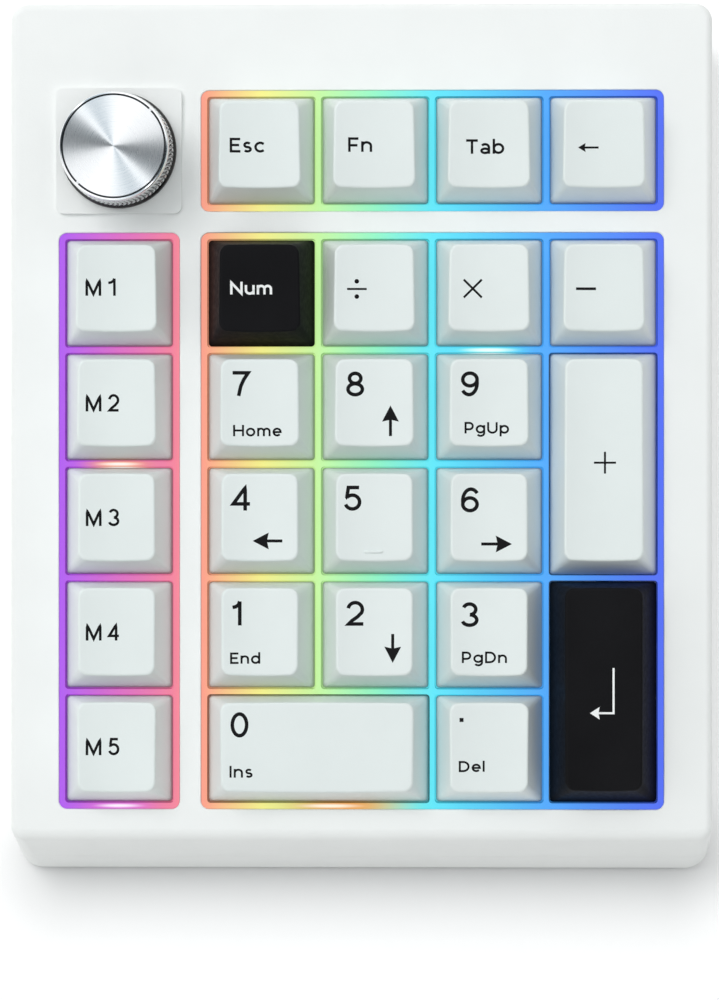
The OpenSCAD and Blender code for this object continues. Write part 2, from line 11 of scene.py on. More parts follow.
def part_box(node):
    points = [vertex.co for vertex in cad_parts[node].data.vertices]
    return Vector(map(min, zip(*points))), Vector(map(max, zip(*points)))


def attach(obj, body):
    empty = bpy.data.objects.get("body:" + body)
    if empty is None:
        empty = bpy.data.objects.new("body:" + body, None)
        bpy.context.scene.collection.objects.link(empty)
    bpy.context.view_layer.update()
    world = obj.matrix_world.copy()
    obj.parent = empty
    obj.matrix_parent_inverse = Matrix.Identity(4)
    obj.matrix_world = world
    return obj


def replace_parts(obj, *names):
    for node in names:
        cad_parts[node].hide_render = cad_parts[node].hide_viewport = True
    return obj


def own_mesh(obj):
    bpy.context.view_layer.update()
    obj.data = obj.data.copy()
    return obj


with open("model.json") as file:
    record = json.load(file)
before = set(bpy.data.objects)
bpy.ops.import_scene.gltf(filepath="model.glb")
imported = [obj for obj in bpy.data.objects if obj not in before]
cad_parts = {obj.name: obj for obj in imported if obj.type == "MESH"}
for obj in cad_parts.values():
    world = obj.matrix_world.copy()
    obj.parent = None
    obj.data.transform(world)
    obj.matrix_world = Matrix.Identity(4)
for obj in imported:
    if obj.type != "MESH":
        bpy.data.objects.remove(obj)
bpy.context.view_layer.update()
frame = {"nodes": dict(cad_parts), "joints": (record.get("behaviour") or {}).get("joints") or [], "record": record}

MM = 0.001
TINY = 0.001 * MM
NODES = frame["nodes"]
JOINTS = {joint["name"]: joint for joint in frame["joints"]}
KEY_NAMES = [name[4:] for name in NODES if name.startswith("key_")]
DARK_KEYS = ("num", "enter")

# ------ Plate axes ------
# Across to the right, along to the rear, out of the keys.
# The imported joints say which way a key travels.
ACROSS = Vector((1, 0, 0))
OUT = -Vector(JOINTS["press_5"]["axis"])
ALONG = OUT.cross(ACROSS)
AXES = np.array([ACROSS, ALONG, OUT])


def node_points(name):
    """A CAD node's vertices in plate axes, one row each."""
    points = np.array([v.co for v in NODES[name].data.vertices])
    return points @ AXES.T


PLATE_TOP = node_points("switch_plate")[:, 2].max()
SKIRT_RISE = 6 * MM


def plate_points(name):
    """A CAD node's vertices in plate axes, with heights counted from the top of the switch plate."""
    points = node_points(name)
    points[:, 2] -= PLATE_TOP
    return points


def to_world(points):
    """Points in plate axes, heights from the top of the switch plate, as points of the row frame."""
    points = np.array(points, float)
    points[:, 2] += PLATE_TOP
    return points @ AXES


def on_plate(x, v, w):
    return Vector(to_world([(x, v, w)])[0])


def srgb(code):
    """A colour written as a six-digit code, as linear values."""
    channels = [int(code[i:i + 2], 16) / 255 for i in (0, 2, 4)]
    linear = [c / 12.92 if c <= 0.04045 else ((c + 0.055) / 1.055) ** 2.4 for c in channels]
    return (*linear, 1)


# ------ Materials ------
class Shading:
    """The nodes of one material or world, added one by one and linked as they come."""

    def __init__(self, owner):
        owner.use_nodes = True
        self.nodes, self.links = owner.node_tree.nodes, owner.node_tree.links

    def feed(self, plug, value):
        """Gives an input a fixed value or another node's output."""
        if isinstance(value, bpy.types.NodeSocket):
            self.links.new(value, plug)
        else:
            plug.default_value = value

    def add(self, kind, plugs, output, **settings):
        """Adds a node and returns one of its outputs."""
        node = self.nodes.new("ShaderNode" + kind)
        for name, value in settings.items():
            setattr(node, name, value)
        for name, value in plugs.items():
            self.feed(node.inputs[name], value)
        return node.outputs[output]

    def dress(self, plugs):
        """Gives inputs of the material's own shader their values."""
        for name, value in plugs.items():
            self.feed(self.nodes["Principled BSDF"].inputs[name], value)

    def place(self, kind="Object"):
        return self.add("TexCoord", {}, kind)

    def math(self, operation, first, second):
        return self.add("Math", {0: first, 1: second}, "Value", operation=operation)

    def vector(self, operation, first, second=(0, 0, 0), output="Vector"):
        return self.add("VectorMath", {0: first, 1: second}, output, operation=operation)

    def noise(self, size, detail=2, stretch=(1, 1, 1)):
        """A noise texture in object space whose grain is about size across."""
        spot = self.add("Mapping", {"Vector": self.place(), "Scale": stretch}, "Vector")
        return self.add("TexNoise", {"Vector": spot, "Scale": 1 / size, "Detail": detail}, "Fac")

    def spread(self, value, low, high, start=0.3, end=0.7, **settings):
        """value, from its band between start and end, stretched to run from low to high."""
        band = {"Value": value, "From Min": start, "From Max": end, "To Min": low, "To Max": high}
        return self.add("MapRange", band, "Result", **settings)

    def ramp(self, value, stops):
        """A colour for value, from stops that each have a share and a colour."""
        colour = self.add("ValToRGB", {"Fac": value}, "Color")
        made = colour.node.color_ramp.elements
        for index, (share, shade) in enumerate(stops):
            stop = made[index] if index < 2 else made.new(share)
            stop.position = share
            stop.color = shade
        return colour

    def tint(self, value, first, second):
        """A colour between first and second, as value crosses its middle band."""
        return self.ramp(value, [(0.3, first), (0.7, second)])

    def mixed(self, share, first, second):
        """A colour between first and second, as share goes from 0 to 1."""
        return self.add("Mix", {0: share, MIX_FIRST: first, MIX_SECOND: second}, MIX_RESULT, data_type="RGBA")

    def bump(self, height, depth):
        return self.add("Bump", {"Distance": depth, "Height": height}, "Normal")


# Where a mix node keeps its colour sockets
MIX_FIRST, MIX_SECOND, MIX_RESULT = 6, 7, 2


def new_material(name):
    material = bpy.data.materials.new(name)
    return material, Shading(material)


TONE_SIZE = 11 * MM


def shaded(colour, factor):
    return (*[min(1, c * factor) for c in colour[:3]], 1)


def grained(name, colour, roughness, grain, depth, metallic=0, mottle=0.06, stretch=(1, 1, 1), specular=0.5):
    """A surface with a fine grain, a slow change of tone and a slow change of gloss."""
    material, shading = new_material(name)
    slow = shading.noise(TONE_SIZE, 3)
    medium = shading.noise(4 * grain, 3, stretch)
    shading.dress({
        "Metallic": metallic,
        "Specular IOR Level": specular,
        "Base Color": shading.tint(slow, shaded(colour, 1 - mottle), shaded(colour, 1 + mottle / 2)),
        "Roughness": shading.spread(medium, roughness * 0.85, min(1, roughness * 1.12)),
        "Normal": shading.bump(shading.noise(grain, 2, stretch), depth),
    })
    return material


METAL = {"metallic": 1}
# Colour, roughness, grain and its depth in millimetres, and what else differs
FINISHES = {
    "case_plastic": ("F1F3F2", 0.42, 0.35, 0.012, {"mottle": 0.015}),
    "cap_light": ("E3EAE9", 0.46, 0.22, 0.014, {"mottle": 0.02}),
    "cap_dark": ("19191B", 0.5, 0.22, 0.014, {"mottle": 0.15, "specular": 0.03}),
    "legend_black": ("0A0A0C", 0.55, 0.2, 0.004, {"specular": 0.15}),
    "legend_white": ("F2F4F4", 0.5, 0.2, 0.004, {}),
    "knob_black": ("0B0B0C", 0.25, 0.2, 0.003, {"mottle": 0.2}),
    "plate_steel": ("B9BCBE", 0.34, 0.3, 0.01, {"metallic": 1, "stretch": (0.04, 1, 1)}),
    "board": ("0F3D2A", 0.3, 0.5, 0.02, {"mottle": 0.2}),
    "switch_base": ("26272A", 0.5, 0.3, 0.01, {"mottle": 0.1}),
    "switch_cover": ("C9CED2", 0.25, 0.4, 0.004, {}),
    "switch_stem": ("3E78B8", 0.4, 0.3, 0.006, {}),
    "stabilizer_plastic": ("202124", 0.45, 0.3, 0.01, {}),
    "spring_steel": ("CFCDC6", 0.22, 0.4, 0.003, METAL),
    "contact_brass": ("D9B45A", 0.28, 0.4, 0.003, METAL),
    "led_lens": ("F4F1DE", 0.2, 0.5, 0.003, {}),
    "chip": ("18181A", 0.6, 0.15, 0.006, {}),
    "socket_steel": ("C4C7C9", 0.28, 0.3, 0.004, METAL),
    "encoder_steel": ("B4B7B9", 0.35, 0.2, 0.006, METAL),
    "screw_steel": ("8E9295", 0.32, 0.2, 0.006, METAL),
    "foot_rubber": ("2A2B2C", 0.85, 0.18, 0.02, {"mottle": 0.12}),
}
MATERIALS = {name: grained(name, srgb(code), roughness, grain * MM, depth * MM, **more)
             for name, (code, roughness, grain, depth, more) in FINISHES.items()}

# ------ Mesh building ------
class Shell:
    """The points and faces of one piece, gathered ring by ring."""

    def __init__(self):
        self.points = []
        self.faces = []

    def ring(self, points):
        start = len(self.points)
        self.points.extend(tuple(p) for p in points)
        return list(range(start, len(self.points)))

    def bridge(self, first, second):
        for i in range(len(first)):
            j = (i + 1) % len(first)
            self.faces.append((first[i], first[j], second[j], second[i]))

    def loft(self, rings, closed=True):
        """Joins rings of points in turn, and closes both ends."""
        made = [self.ring(points) for points in rings]
        for first, second in zip(made, made[1:]):
            self.bridge(first, second)
        if closed:
            self.faces.extend((made[0][::-1], made[-1]))
        return made

    def hoop(self, rings):
        """Joins rings of points in turn, and the last to the first."""
        made = self.loft(rings, closed=False)
        self.bridge(made[-1], made[0])

    def move(self, change):
        """Passes all the points through a function."""
        self.points = [tuple(p) for p in change(self.points)]

    def mesh(self, name, smooth_deg):
        mesh = bpy.data.meshes.new(name)
        mesh.from_pydata(self.points, [], self.faces)
        finish_mesh(mesh, smooth_deg)
        return mesh


def finish_mesh(mesh, smooth_deg):
    """Points the faces outwards, and marks the edges that are sharper than smooth_deg."""
    work = bmesh.new()
    work.from_mesh(mesh)
    bmesh.ops.recalc_face_normals(work, faces=work.faces)
    limit = math.radians(smooth_deg)
    for face in work.faces:
        face.smooth = True
    for edge in work.edges:
        edge.smooth = len(edge.link_faces) == 2 and edge.calc_face_angle(0) < limit
    work.to_mesh(mesh)
    work.free()


def new_object(name, data):
    obj = bpy.data.objects.new(name, data)
    bpy.context.scene.collection.objects.link(obj)
    return obj


def piece(name, shell, body, ink, smooth_deg=35):
    """Makes an object of a shell whose points are in the row frame, riding on a CAD body."""
    obj = new_object(name, shell.mesh(name, smooth_deg))
    obj.data.materials.append(MATERIALS[ink])
    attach(obj, body)
    return obj


def rounded(half_x, front, rear, radius, rear_radius=None, corner_steps=7, side_steps=8):
    """Points round a rectangle with rounded corners, from its right front corner, turning left."""
    back = radius if rear_radius is None else rear_radius
    corners = [
        (half_x - radius, -front + radius, radius, -90),
        (half_x - back, rear - back, back, 0),
        (-half_x + back, rear - back, back, 90),
        (-half_x + radius, -front + radius, radius, 180),
    ]
    points = []
    for index, (x, y, size, start) in enumerate(corners):
        for step in range(corner_steps + 1):
            angle = math.radians(start + 90 * step / corner_steps)
            points.append((x + size * math.cos(angle), y + size * math.sin(angle)))
        next_x, next_y, next_size, next_start = corners[(index + 1) % 4]
        turn = math.radians(next_start)
        goal = (next_x + next_size * math.cos(turn), next_y + next_size * math.sin(turn))
        last = points[-1]
        for step in range(1, side_steps):
            share = step / side_steps
            points.append((last[0] + (goal[0] - last[0]) * share, last[1] + (goal[1] - last[1]) * share))
    return np.array(points)


def circle(radius, steps, turn=0):
    angles = turn + 2 * math.pi * np.arange(steps) / steps
    return np.column_stack([radius * np.cos(angles), radius * np.sin(angles)])


def lifted(outline, height):
    """Points of an outline at one height, or at a height each."""
    return np.column_stack([outline, np.broadcast_to(height, len(outline))])


# ------ Key caps ------
CAP_WALL = 1.4 * MM
CAP_DISH = 0.7 * MM
CAP_CEILING = 1.5 * MM
CAP_EDGE_R = 0.36 * MM
CAP_FOOT_R = 0.6 * MM
CAP_TOP_R = 1.6 * MM
CAP_INNER_R = 0.5 * MM
CAP_ROOF_R = 0.9 * MM
POST_R = 2.75 * MM
POST_FOOT = 6.65 * MM
POST_OVERLAP = 0.2 * MM
SOCKET_DEPTH = 3.75 * MM
SOCKET_HALF = 2.05 * MM
SOCKET_HALF_T = 0.65 * MM
STABILIZER_REACH = 11.9 * MM


class Cap:
    """The measures of one key cap, taken from its CAD node."""

    def __init__(self, name):
        points = plate_points("key_" + name)
        low, high = points.min(0), points.max(0)
        self.name = name
        self.x, self.v = (low[:2] + high[:2]) / 2
        self.half_x, self.half_v = (high[:2] - low[:2]) / 2
        top = points[points[:, 2] > SKIRT_RISE + 0.8 * (high[2] - SKIRT_RISE)]
        self.top_x = top[:, 0].max() - self.x
        self.top_front = self.v - top[:, 1].min()
        self.top_rear = top[:, 1].max() - self.v
        side = np.abs(points[:, 0] - self.x) > self.top_x - 0.6 * MM
        self.front_h = points[side & (points[:, 1] < self.v - 0.5 * self.top_front), 2].max() - SKIRT_RISE
        self.rear_h = points[side & (points[:, 1] > self.v + 0.5 * self.top_rear), 2].max() - SKIRT_RISE
        self.height = (self.front_h + self.rear_h) / 2
        self.body = "key_" + name
        self.two_unit = max(self.half_x, self.half_v) > 1.5 * min(self.half_x, self.half_v)

    def surface(self, x, v):
        """Height of the dished top above the skirt's foot, at a place counted from the cap's centre."""
        share = (v + self.top_front) / (self.top_front + self.top_rear)
        plane = self.front_h + (self.rear_h - self.front_h) * share
        return plane - CAP_DISH * (1 - np.clip(x / self.top_x, -1, 1) ** 2)

    def place(self, points):
        """Points counted from the cap's centre and foot, in the row frame."""
        return to_world(np.array(points) + (self.x, self.v, SKIRT_RISE))


def cap_rings(cap):
    """Rings up the outside of a cap, over its rounded edge and in across the dish."""
    foot = rounded(cap.half_x, cap.half_v, cap.half_v, CAP_FOOT_R)

    def wall(inset, drop):
        top = rounded(cap.top_x - inset, cap.top_front - inset, cap.top_rear - inset, CAP_TOP_R - inset)
        spot = top
        for _ in range(4):
            height = cap.surface(spot[:, 0], spot[:, 1]) - drop
            spot = foot + (top - foot) * (height / cap.height)[:, None]
        return lifted(spot, height)

    edge = wall(0, CAP_EDGE_R)
    floor = lifted(foot, 0)
    rings = [floor + (edge - floor) * share for share in (0, 0.04, 0.35, 0.7, 0.97)]
    for step in range(7):
        angle = math.radians(90 * step / 6)
        rings.append(wall(CAP_EDGE_R * (1 - math.cos(angle)), CAP_EDGE_R * (1 - math.sin(angle))))
    last = rings[-1][:, :2]
    centre = np.array((0, (cap.top_rear - cap.top_front) / 2))
    for share in (0.96, 0.9, 0.8, 0.68, 0.54, 0.4, 0.26, 0.12, 0.03):
        spot = centre + (last - centre) * share
        rings.append(lifted(spot, cap.surface(spot[:, 0], spot[:, 1])))
    return rings


def socket_post(shell, x, v, foot, ceiling):
    """A round post with a blind cross-shaped socket in its foot."""
    a, b = SOCKET_HALF_T, SOCKET_HALF
    quarter = [(a, -b), (a, -a), (b, -a)]
    cross = []
    for turn in range(4):
        c, s = round(math.cos(turn * math.pi / 2)), round(math.sin(turn * math.pi / 2))
        cross.extend((p * c - q * s, p * s + q * c) for p, q in quarter)
    outside = circle(POST_R, 24, math.radians(-75))
    cross = np.array(cross)
    centre = np.array((x, v))
    outer_low = shell.ring(lifted(outside + centre, foot))
    outer_high = shell.ring(lifted(outside + centre, ceiling))
    inner_low = shell.ring(lifted(cross + centre, foot))
    inner_high = shell.ring(lifted(cross + centre, foot + SOCKET_DEPTH))
    shell.bridge(outer_low, outer_high)
    shell.bridge(inner_low, inner_high)
    shell.faces.extend((outer_high, inner_high))
    for index in range(12):
        first, second = 2 * index, (2 * index + 1) % 24
        third = (2 * index + 2) % 24
        shell.faces.append((outer_low[first], outer_low[second], outer_low[third],
                            inner_low[(index + 1) % 12], inner_low[index]))


def make_cap(cap):
    shell = Shell()
    outside = shell.loft(cap_rings(cap), closed=False)
    ceiling = cap.height - CAP_DISH - CAP_CEILING - abs(cap.rear_h - cap.front_h) / 2
    share = ceiling / cap.height
    inner_x, inner_v = cap.half_x - CAP_WALL, cap.half_v - CAP_WALL
    rim = rounded(inner_x, inner_v, inner_v, CAP_INNER_R)
    roof = rounded(inner_x - (cap.half_x - cap.top_x) * share, inner_v - (cap.half_v - cap.top_front) * share,
                   inner_v - (cap.half_v - cap.top_rear) * share, CAP_ROOF_R)
    inside = shell.loft([lifted(rim, 0), lifted(rim + (roof - rim) * 0.9, ceiling * 0.9),
                         lifted(roof * 0.95, ceiling)], closed=False)
    shell.bridge(outside[0], inside[0])
    shell.faces.extend((outside[-1], inside[-1]))
    post_foot = POST_FOOT - SKIRT_RISE
    socket_post(shell, 0, 0, post_foot, ceiling + POST_OVERLAP)
    if cap.two_unit:
        across = cap.half_x > cap.half_v
        for reach in (-STABILIZER_REACH, STABILIZER_REACH):
            x, v = (reach, 0) if across else (0, reach)
            socket_post(shell, x, v, post_foot, ceiling + POST_OVERLAP)
    shell.move(cap.place)
    ink = "cap_dark" if cap.name in DARK_KEYS else "cap_light"
    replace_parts(piece("cap_" + cap.name, shell, cap.body, ink, 40), cap.body)


CAPS = {name: Cap(name) for name in KEY_NAMES}
for each in CAPS.values():
    make_cap(each)


# ------ Sliders under the caps: loose solids of the keys' CAD nodes ------
def welded(name):
    """A CAD node's mesh as bmesh, with its split edges joined."""
    work = bmesh.new()
    work.from_mesh(NODES[name].data)
    bmesh.ops.remove_doubles(work, verts=work.verts, dist=TINY)
    return work


def loose_solids(name):
    """The separate solids of a CAD node, each as points and faces."""
    work = welded(name)
    work.verts.ensure_lookup_table()
    seen = set()
    for seed in work.verts:
        if seed.index in seen:
            continue
        group, stack = [], [seed]
        seen.add(seed.index)
        while stack:
            vertex = stack.pop()
            group.append(vertex)
            for edge in vertex.link_edges:
                other = edge.other_vert(vertex)
                if other.index not in seen:
                    seen.add(other.index)
                    stack.append(other)
        number = {vertex.index: i for i, vertex in enumerate(group)}
        faces = {face.index: face for vertex in group for face in vertex.link_faces}
        yield (np.array([vertex.co for vertex in group]),
               [[number[v.index] for v in face.verts] for face in faces.values()])
    work.free()


def soften(obj, width):
    """Rounds a piece's sharp edges a little."""
    edge = obj.modifiers.new("edges", "BEVEL")
    edge.width = width
    edge.segments = 2
    edge.limit_method = "ANGLE"
    edge.angle_limit = math.radians(35)
    edge.harden_normals = True


SLIDER_TOP = 11 * MM
SLIDER_EDGE = 0.12 * MM
for key in KEY_NAMES:
    stabs = 0
    for points, faces in loose_solids("key_" + key):
        heights = points @ np.array(OUT) - PLATE_TOP
        if heights.max() > SLIDER_TOP:
            continue
        middle = heights.min() < 0
        label = "slider_" + key if middle else f"stab_slider_{key}_{stabs}"
        stabs += 0 if middle else 1
        shell = Shell()
        shell.ring(points)
        shell.faces = faces
        ink = "switch_stem" if middle else "stabilizer_plastic"
        soften(piece(label, shell, "key_" + key, ink), SLIDER_EDGE)

# ------ Legends ------
# Thin strokes that lie in the caps' dishes. A glyph is its width and its strokes,
# for a capital 1 high; a stroke is the line that its middle follows.
def arc(x, y, radius_x, radius_y, start, end, steps=18):
    angles = np.radians(np.linspace(start, end, steps + 1))
    return [(x + radius_x * math.cos(a), y + radius_y * math.sin(a)) for a in angles]


def oval(x, y, radius_x, radius_y):
    return arc(x, y, radius_x, radius_y, 0, 360, 28)


BOWL = oval(0.36, 0.37, 0.29, 0.3)
GLYPHS = {
    "D": (0.82, [[(0.07, 0.07), (0.07, 0.93), (0.34, 0.93)] + arc(0.34, 0.5, 0.41, 0.43, 90, -90)
                 + [(0.07, 0.07)]]),
    "E": (0.66, [[(0.65, 0.93), (0.07, 0.93), (0.07, 0.07), (0.66, 0.07)], [(0.07, 0.51), (0.58, 0.51)]]),
    "F": (0.62, [[(0.62, 0.93), (0.07, 0.93), (0.07, 0)], [(0.07, 0.46), (0.56, 0.46)]]),
    "H": (0.84, [[(0.07, 0), (0.07, 1)], [(0.77, 0), (0.77, 1)], [(0.07, 0.51), (0.77, 0.51)]]),
    "I": (0.14, [[(0.07, 0), (0.07, 1)]]),
    "M": (0.94, [[(0.07, 0), (0.07, 0.92), (0.47, 0.1), (0.87, 0.92), (0.87, 0)]]),
    "N": (0.84, [[(0.07, 0), (0.07, 0.93), (0.77, 0.07), (0.77, 1)]]),
    "P": (0.7, [[(0.07, 0), (0.07, 0.93), (0.36, 0.93)] + arc(0.36, 0.65, 0.27, 0.28, 90, -90)
                + [(0.07, 0.37)]]),
    "T": (0.74, [[(0, 0.93), (0.74, 0.93)], [(0.37, 0.93), (0.37, 0)]]),
    "U": (0.8, [[(0.07, 1), (0.07, 0.4)] + arc(0.4, 0.4, 0.33, 0.33, 180, 360) + [(0.73, 1)]]),
    "a": (0.6, [arc(0.29, 0.44, 0.24, 0.23, 145, 0) + [(0.53, 0)], oval(0.29, 0.21, 0.23, 0.15)]),
    "b": (0.72, [[(0.07, 0), (0.07, 1.05)], BOWL]),
    "c": (0.62, [arc(0.37, 0.37, 0.3, 0.3, 45, 315)]),
    "d": (0.72, [[(0.65, 0), (0.65, 1.05)], BOWL]),
    "e": (0.7, [[(0.08, 0.36)] + arc(0.36, 0.37, 0.28, 0.3, 0, 318)]),
    "g": (0.72, [oval(0.36, 0.38, 0.29, 0.29), [(0.65, 0.74)] + arc(0.37, 0.04, 0.28, 0.25, 0, -145)]),
    "l": (0.14, [[(0.07, 0), (0.07, 1.05)]]),
    "m": (1.04, [[(0.07, 0), (0.07, 0.74)], [(0.07, 0.4)] + arc(0.295, 0.43, 0.225, 0.24, 170, 0)
                 + [(0.52, 0)], [(0.52, 0.4)] + arc(0.745, 0.43, 0.225, 0.24, 170, 0) + [(0.97, 0)]]),
    "n": (0.66, [[(0.07, 0), (0.07, 0.74)], [(0.07, 0.4)] + arc(0.33, 0.41, 0.26, 0.26, 170, 0)
                 + [(0.59, 0)]]),
    "o": (0.72, [BOWL]),
    "p": (0.72, [[(0.07, -0.26), (0.07, 0.74)], BOWL]),
    "s": (0.54, [arc(0.27, 0.52, 0.18, 0.15, 35, 270) + arc(0.27, 0.22, 0.2, 0.15, 90, -145)]),
    "u": (0.66, [[(0.07, 0.74)] + arc(0.33, 0.33, 0.26, 0.26, 180, 360) + [(0.59, 0.34)],
                 [(0.59, 0.74), (0.59, 0)]]),
    "0": (0.72, [oval(0.36, 0.5, 0.29, 0.44)]),
    "1": (0.4, [[(0.02, 0.75), (0.17, 0.78), (0.28, 0.86), (0.34, 1)], [(0.34, 0), (0.34, 1)]]),
    "2": (0.7, [arc(0.35, 0.66, 0.28, 0.28, 170, -30) + [(0.44, 0.36), (0.22, 0.2), (0.09, 0.065),
                                                         (0.67, 0.065)]]),
    "3": (0.7, [arc(0.34, 0.715, 0.25, 0.22, 160, -85), arc(0.34, 0.28, 0.29, 0.215, 88, -165)]),
    "4": (0.74, [[(0.53, 0), (0.53, 0.93), (0.06, 0.27), (0.72, 0.27)]]),
    "5": (0.7, [[(0.62, 0.935), (0.19, 0.935), (0.12, 0.48)] + arc(0.35, 0.345, 0.29, 0.28, 143, -160)]),
    "6": (0.72, [oval(0.36, 0.32, 0.29, 0.26), arc(0.4, 0.47, 0.33, 0.47, 195, 40)]),
    "7": (0.72, [[(0.04, 0.935), (0.67, 0.935), (0.5, 0.68), (0.37, 0.4), (0.28, 0)]]),
    "8": (0.72, [oval(0.36, 0.73, 0.23, 0.205), oval(0.36, 0.285, 0.29, 0.225)]),
    "9": (0.72, [oval(0.36, 0.68, 0.29, 0.26), arc(0.32, 0.53, 0.33, 0.47, 15, -140)]),
}
LETTER_GAP = 0.17
LEGEND_RISE = 0.012 * MM
LEGEND_SINK = 0.05 * MM
STROKE_STEP = 0.45 * MM


def stroke(shell, cap, path, width):
    """A flat stroke of this width along a path in the cap's own axes."""
    path = np.array(path, float)
    moved = np.linalg.norm(np.diff(path, axis=0), axis=1) > TINY
    path = path[np.append(True, moved)]
    loop = np.linalg.norm(path[0] - path[-1]) < TINY
    spots = []
    for start, end in zip(path, path[1:]):
        steps = max(1, math.ceil(np.linalg.norm(end - start) / STROKE_STEP))
        spots.extend(start + (end - start) * step / steps for step in range(steps))
    if not loop:
        spots.append(path[-1])
    spots = np.array(spots)
    ways = np.roll(spots, -1, 0) - spots
    if not loop:
        ways[-1] = ways[-2]
    ways /= np.linalg.norm(ways, axis=1)[:, None]
    after = np.column_stack([-ways[:, 1], ways[:, 0]])
    before = np.roll(after, 1, 0)
    if not loop:
        before[0] = after[0]
    mitre = (after + before) / np.maximum(1 + (after * before).sum(1), 0.3)[:, None] * width / 2
    rings = []
    for near, far in zip(spots + mitre, spots - mitre):
        high = [cap.surface(*near) + LEGEND_RISE, cap.surface(*far) + LEGEND_RISE]
        rings.append([(*near, high[0]), (*far, high[1]),
                      (*far, high[1] - LEGEND_SINK), (*near, high[0] - LEGEND_SINK)])
    if loop:
        shell.hoop(rings)
    else:
        shell.loft(rings)


def word(shell, cap, text, left, right, base, height, width):
    """Writes text from left to right on a line at base, in millimetres from the cap's centre."""
    span = sum(GLYPHS[letter][0] for letter in text) + LETTER_GAP * (len(text) - 1)
    scale = (right - left) / span
    pen = 0
    for letter in text:
        advance, strokes = GLYPHS[letter]
        for line in strokes:
            path = [((left + (pen + x) * scale) * MM, (base + y * height) * MM) for x, y in line]
            stroke(shell, cap, path, width * MM)
        pen += advance + LETTER_GAP


def patch(shell, cap, rim):
    """A filled shape with this rim, in metres from the cap's centre."""
    high = cap.surface(rim[:, 0], rim[:, 1]) + LEGEND_RISE
    shell.loft([lifted(rim, high - LEGEND_SINK), lifted(rim, high)])


def dot(shell, cap, x, v, radius):
    """A round spot, in millimetres from the cap's centre."""
    patch(shell, cap, circle(radius * MM, 20) + (x * MM, v * MM))


def line(shell, cap, path, width):
    """A stroke given in millimetres from the cap's centre."""
    stroke(shell, cap, [(x * MM, v * MM) for x, v in path], width * MM)


def arrow(shell, cap, tip, way, length, head=2.7, wide=2.8, width=0.5, notch=0.88):
    """An arrow with a filled head, slightly notched at its back."""
    tip, way = np.array(tip), np.array(way)
    side = np.array((-way[1], way[0]))
    line(shell, cap, [tip - way * 0.8 * head, tip - way * length], width)
    back = tip - way * head
    corners = [tip, back + side * wide / 2, tip - way * notch * head, back - side * wide / 2]
    rim = [first + (second - first) * step / 3
           for first, second in zip(corners, corners[1:] + corners[:1]) for step in range(3)]
    patch(shell, cap, np.array(rim) * MM)


# Widths of strokes in millimetres. A word has its left and right ends, its base line, its
# capitals' height and its strokes' width.
BOLD = 0.6
MACRO = 0.43
MEDIUM = 0.41
FINE = 0.34
WORDS = {
    "esc": [("Esc", -4.9, 0.8, -0.7, 2.35, MEDIUM)],
    "fn": [("Fn", -4.3, -0.35, -0.65, 2.35, MEDIUM)],
    "tab": [("Tab", -3.8, 2.5, -1, 2.35, MEDIUM)],
    "m1": [("M", -5.1, -2.55, -0.65, 2.85, MACRO), ("1", -1.4, -0.15, -0.65, 2.85, MACRO)],
    "num": [("Num", -4.85, 2.05, -0.45, 2.1, 0.4)],
    "7": [("7", -4.65, -1.7, 1.75, 4.1, BOLD), ("Home", -4.4, 3.6, -4.95, 1.88, FINE)],
    "8": [("8", -4.65, -1.7, 1.7, 4.05, BOLD)],
    "9": [("9", -4.65, -1.7, 1.7, 4.05, BOLD), ("PgUp", -4.05, 3.3, -4.5, 1.88, FINE)],
    "4": [("4", -4.65, -1.55, 1.75, 4.1, BOLD)],
    "5": [("5", -5.1, -2.2, 1.75, 4.1, BOLD)],
    "6": [("6", -4.65, -1.7, 1.5, 4.05, BOLD)],
    "1": [("1", -4.6, -3.1, 1.7, 4, BOLD), ("End", -4.9, 0.05, -4.65, 1.82, FINE)],
    "2": [("2", -4.65, -1.7, 1.7, 4.05, BOLD)],
    "3": [("3", -4.65, -1.75, 1.5, 4.05, BOLD), ("PgDn", -4.5, 2.95, -4.5, 1.85, FINE)],
    "0": [("0", -14.35, -11.4, 2.2, 4.1, BOLD), ("Ins", -14.5, -10.7, -4.5, 1.95, FINE)],
    "decimal": [("Del", -5, -0.75, -3.5, 1.75, FINE)],
}
for digit in "2345":
    WORDS["m" + digit] = [("M", -5.1, -2.55, -0.82, 2.85, MACRO), (digit, -1.4, 0.4, -0.82, 2.85, MACRO)]
# Each arrow's tip, way and length, and where they differ its head's length and width and its line's width
ARROWS = {
    "8": ((2.68, 0.17), (0, 1), 5.1),
    "2": ((3.05, -4.5), (0, -1), 4.8),
    "4": ((-1.2, -3.3), (-1, 0), 4.95),
    "6": ((3.8, -3.8), (1, 0), 5.1),
    "backspace": ((-4.3, 0), (-1, 0), 3.4, 1.25, 1.5, 0.34),
    "enter": ((-2.3, -3.3), (-1, 0), 1.9, 1.6, 2.1, 0.34),
}
LINES = {
    "divide": [([(-4.5, 0.43), (-1.25, 0.43)], 0.34)],
    "multiply": [([(-4.2, -1), (-1.2, 1.97)], 0.36), ([(-4.2, 1.97), (-1.2, -1)], 0.36)],
    "minus": [([(-4.64, 0.43), (-1.33, 0.43)], 0.45)],
    "plus": [([(-1.66, 0.17), (2, 0.17)], 0.34), ([(0.17, -1.64), (0.17, 1.98)], 0.34)],
    "decimal": [([(-4.57, 4.77), (-4.57, 5.43)], 0.66)],
    "enter": [([(1.6, 4.2), (1.6, -3.3), (-1.2, -3.3)], 0.34)],
}
DOTS = {"divide": [(-2.9, 1.7, 0.38), (-2.9, -0.82, 0.38)]}

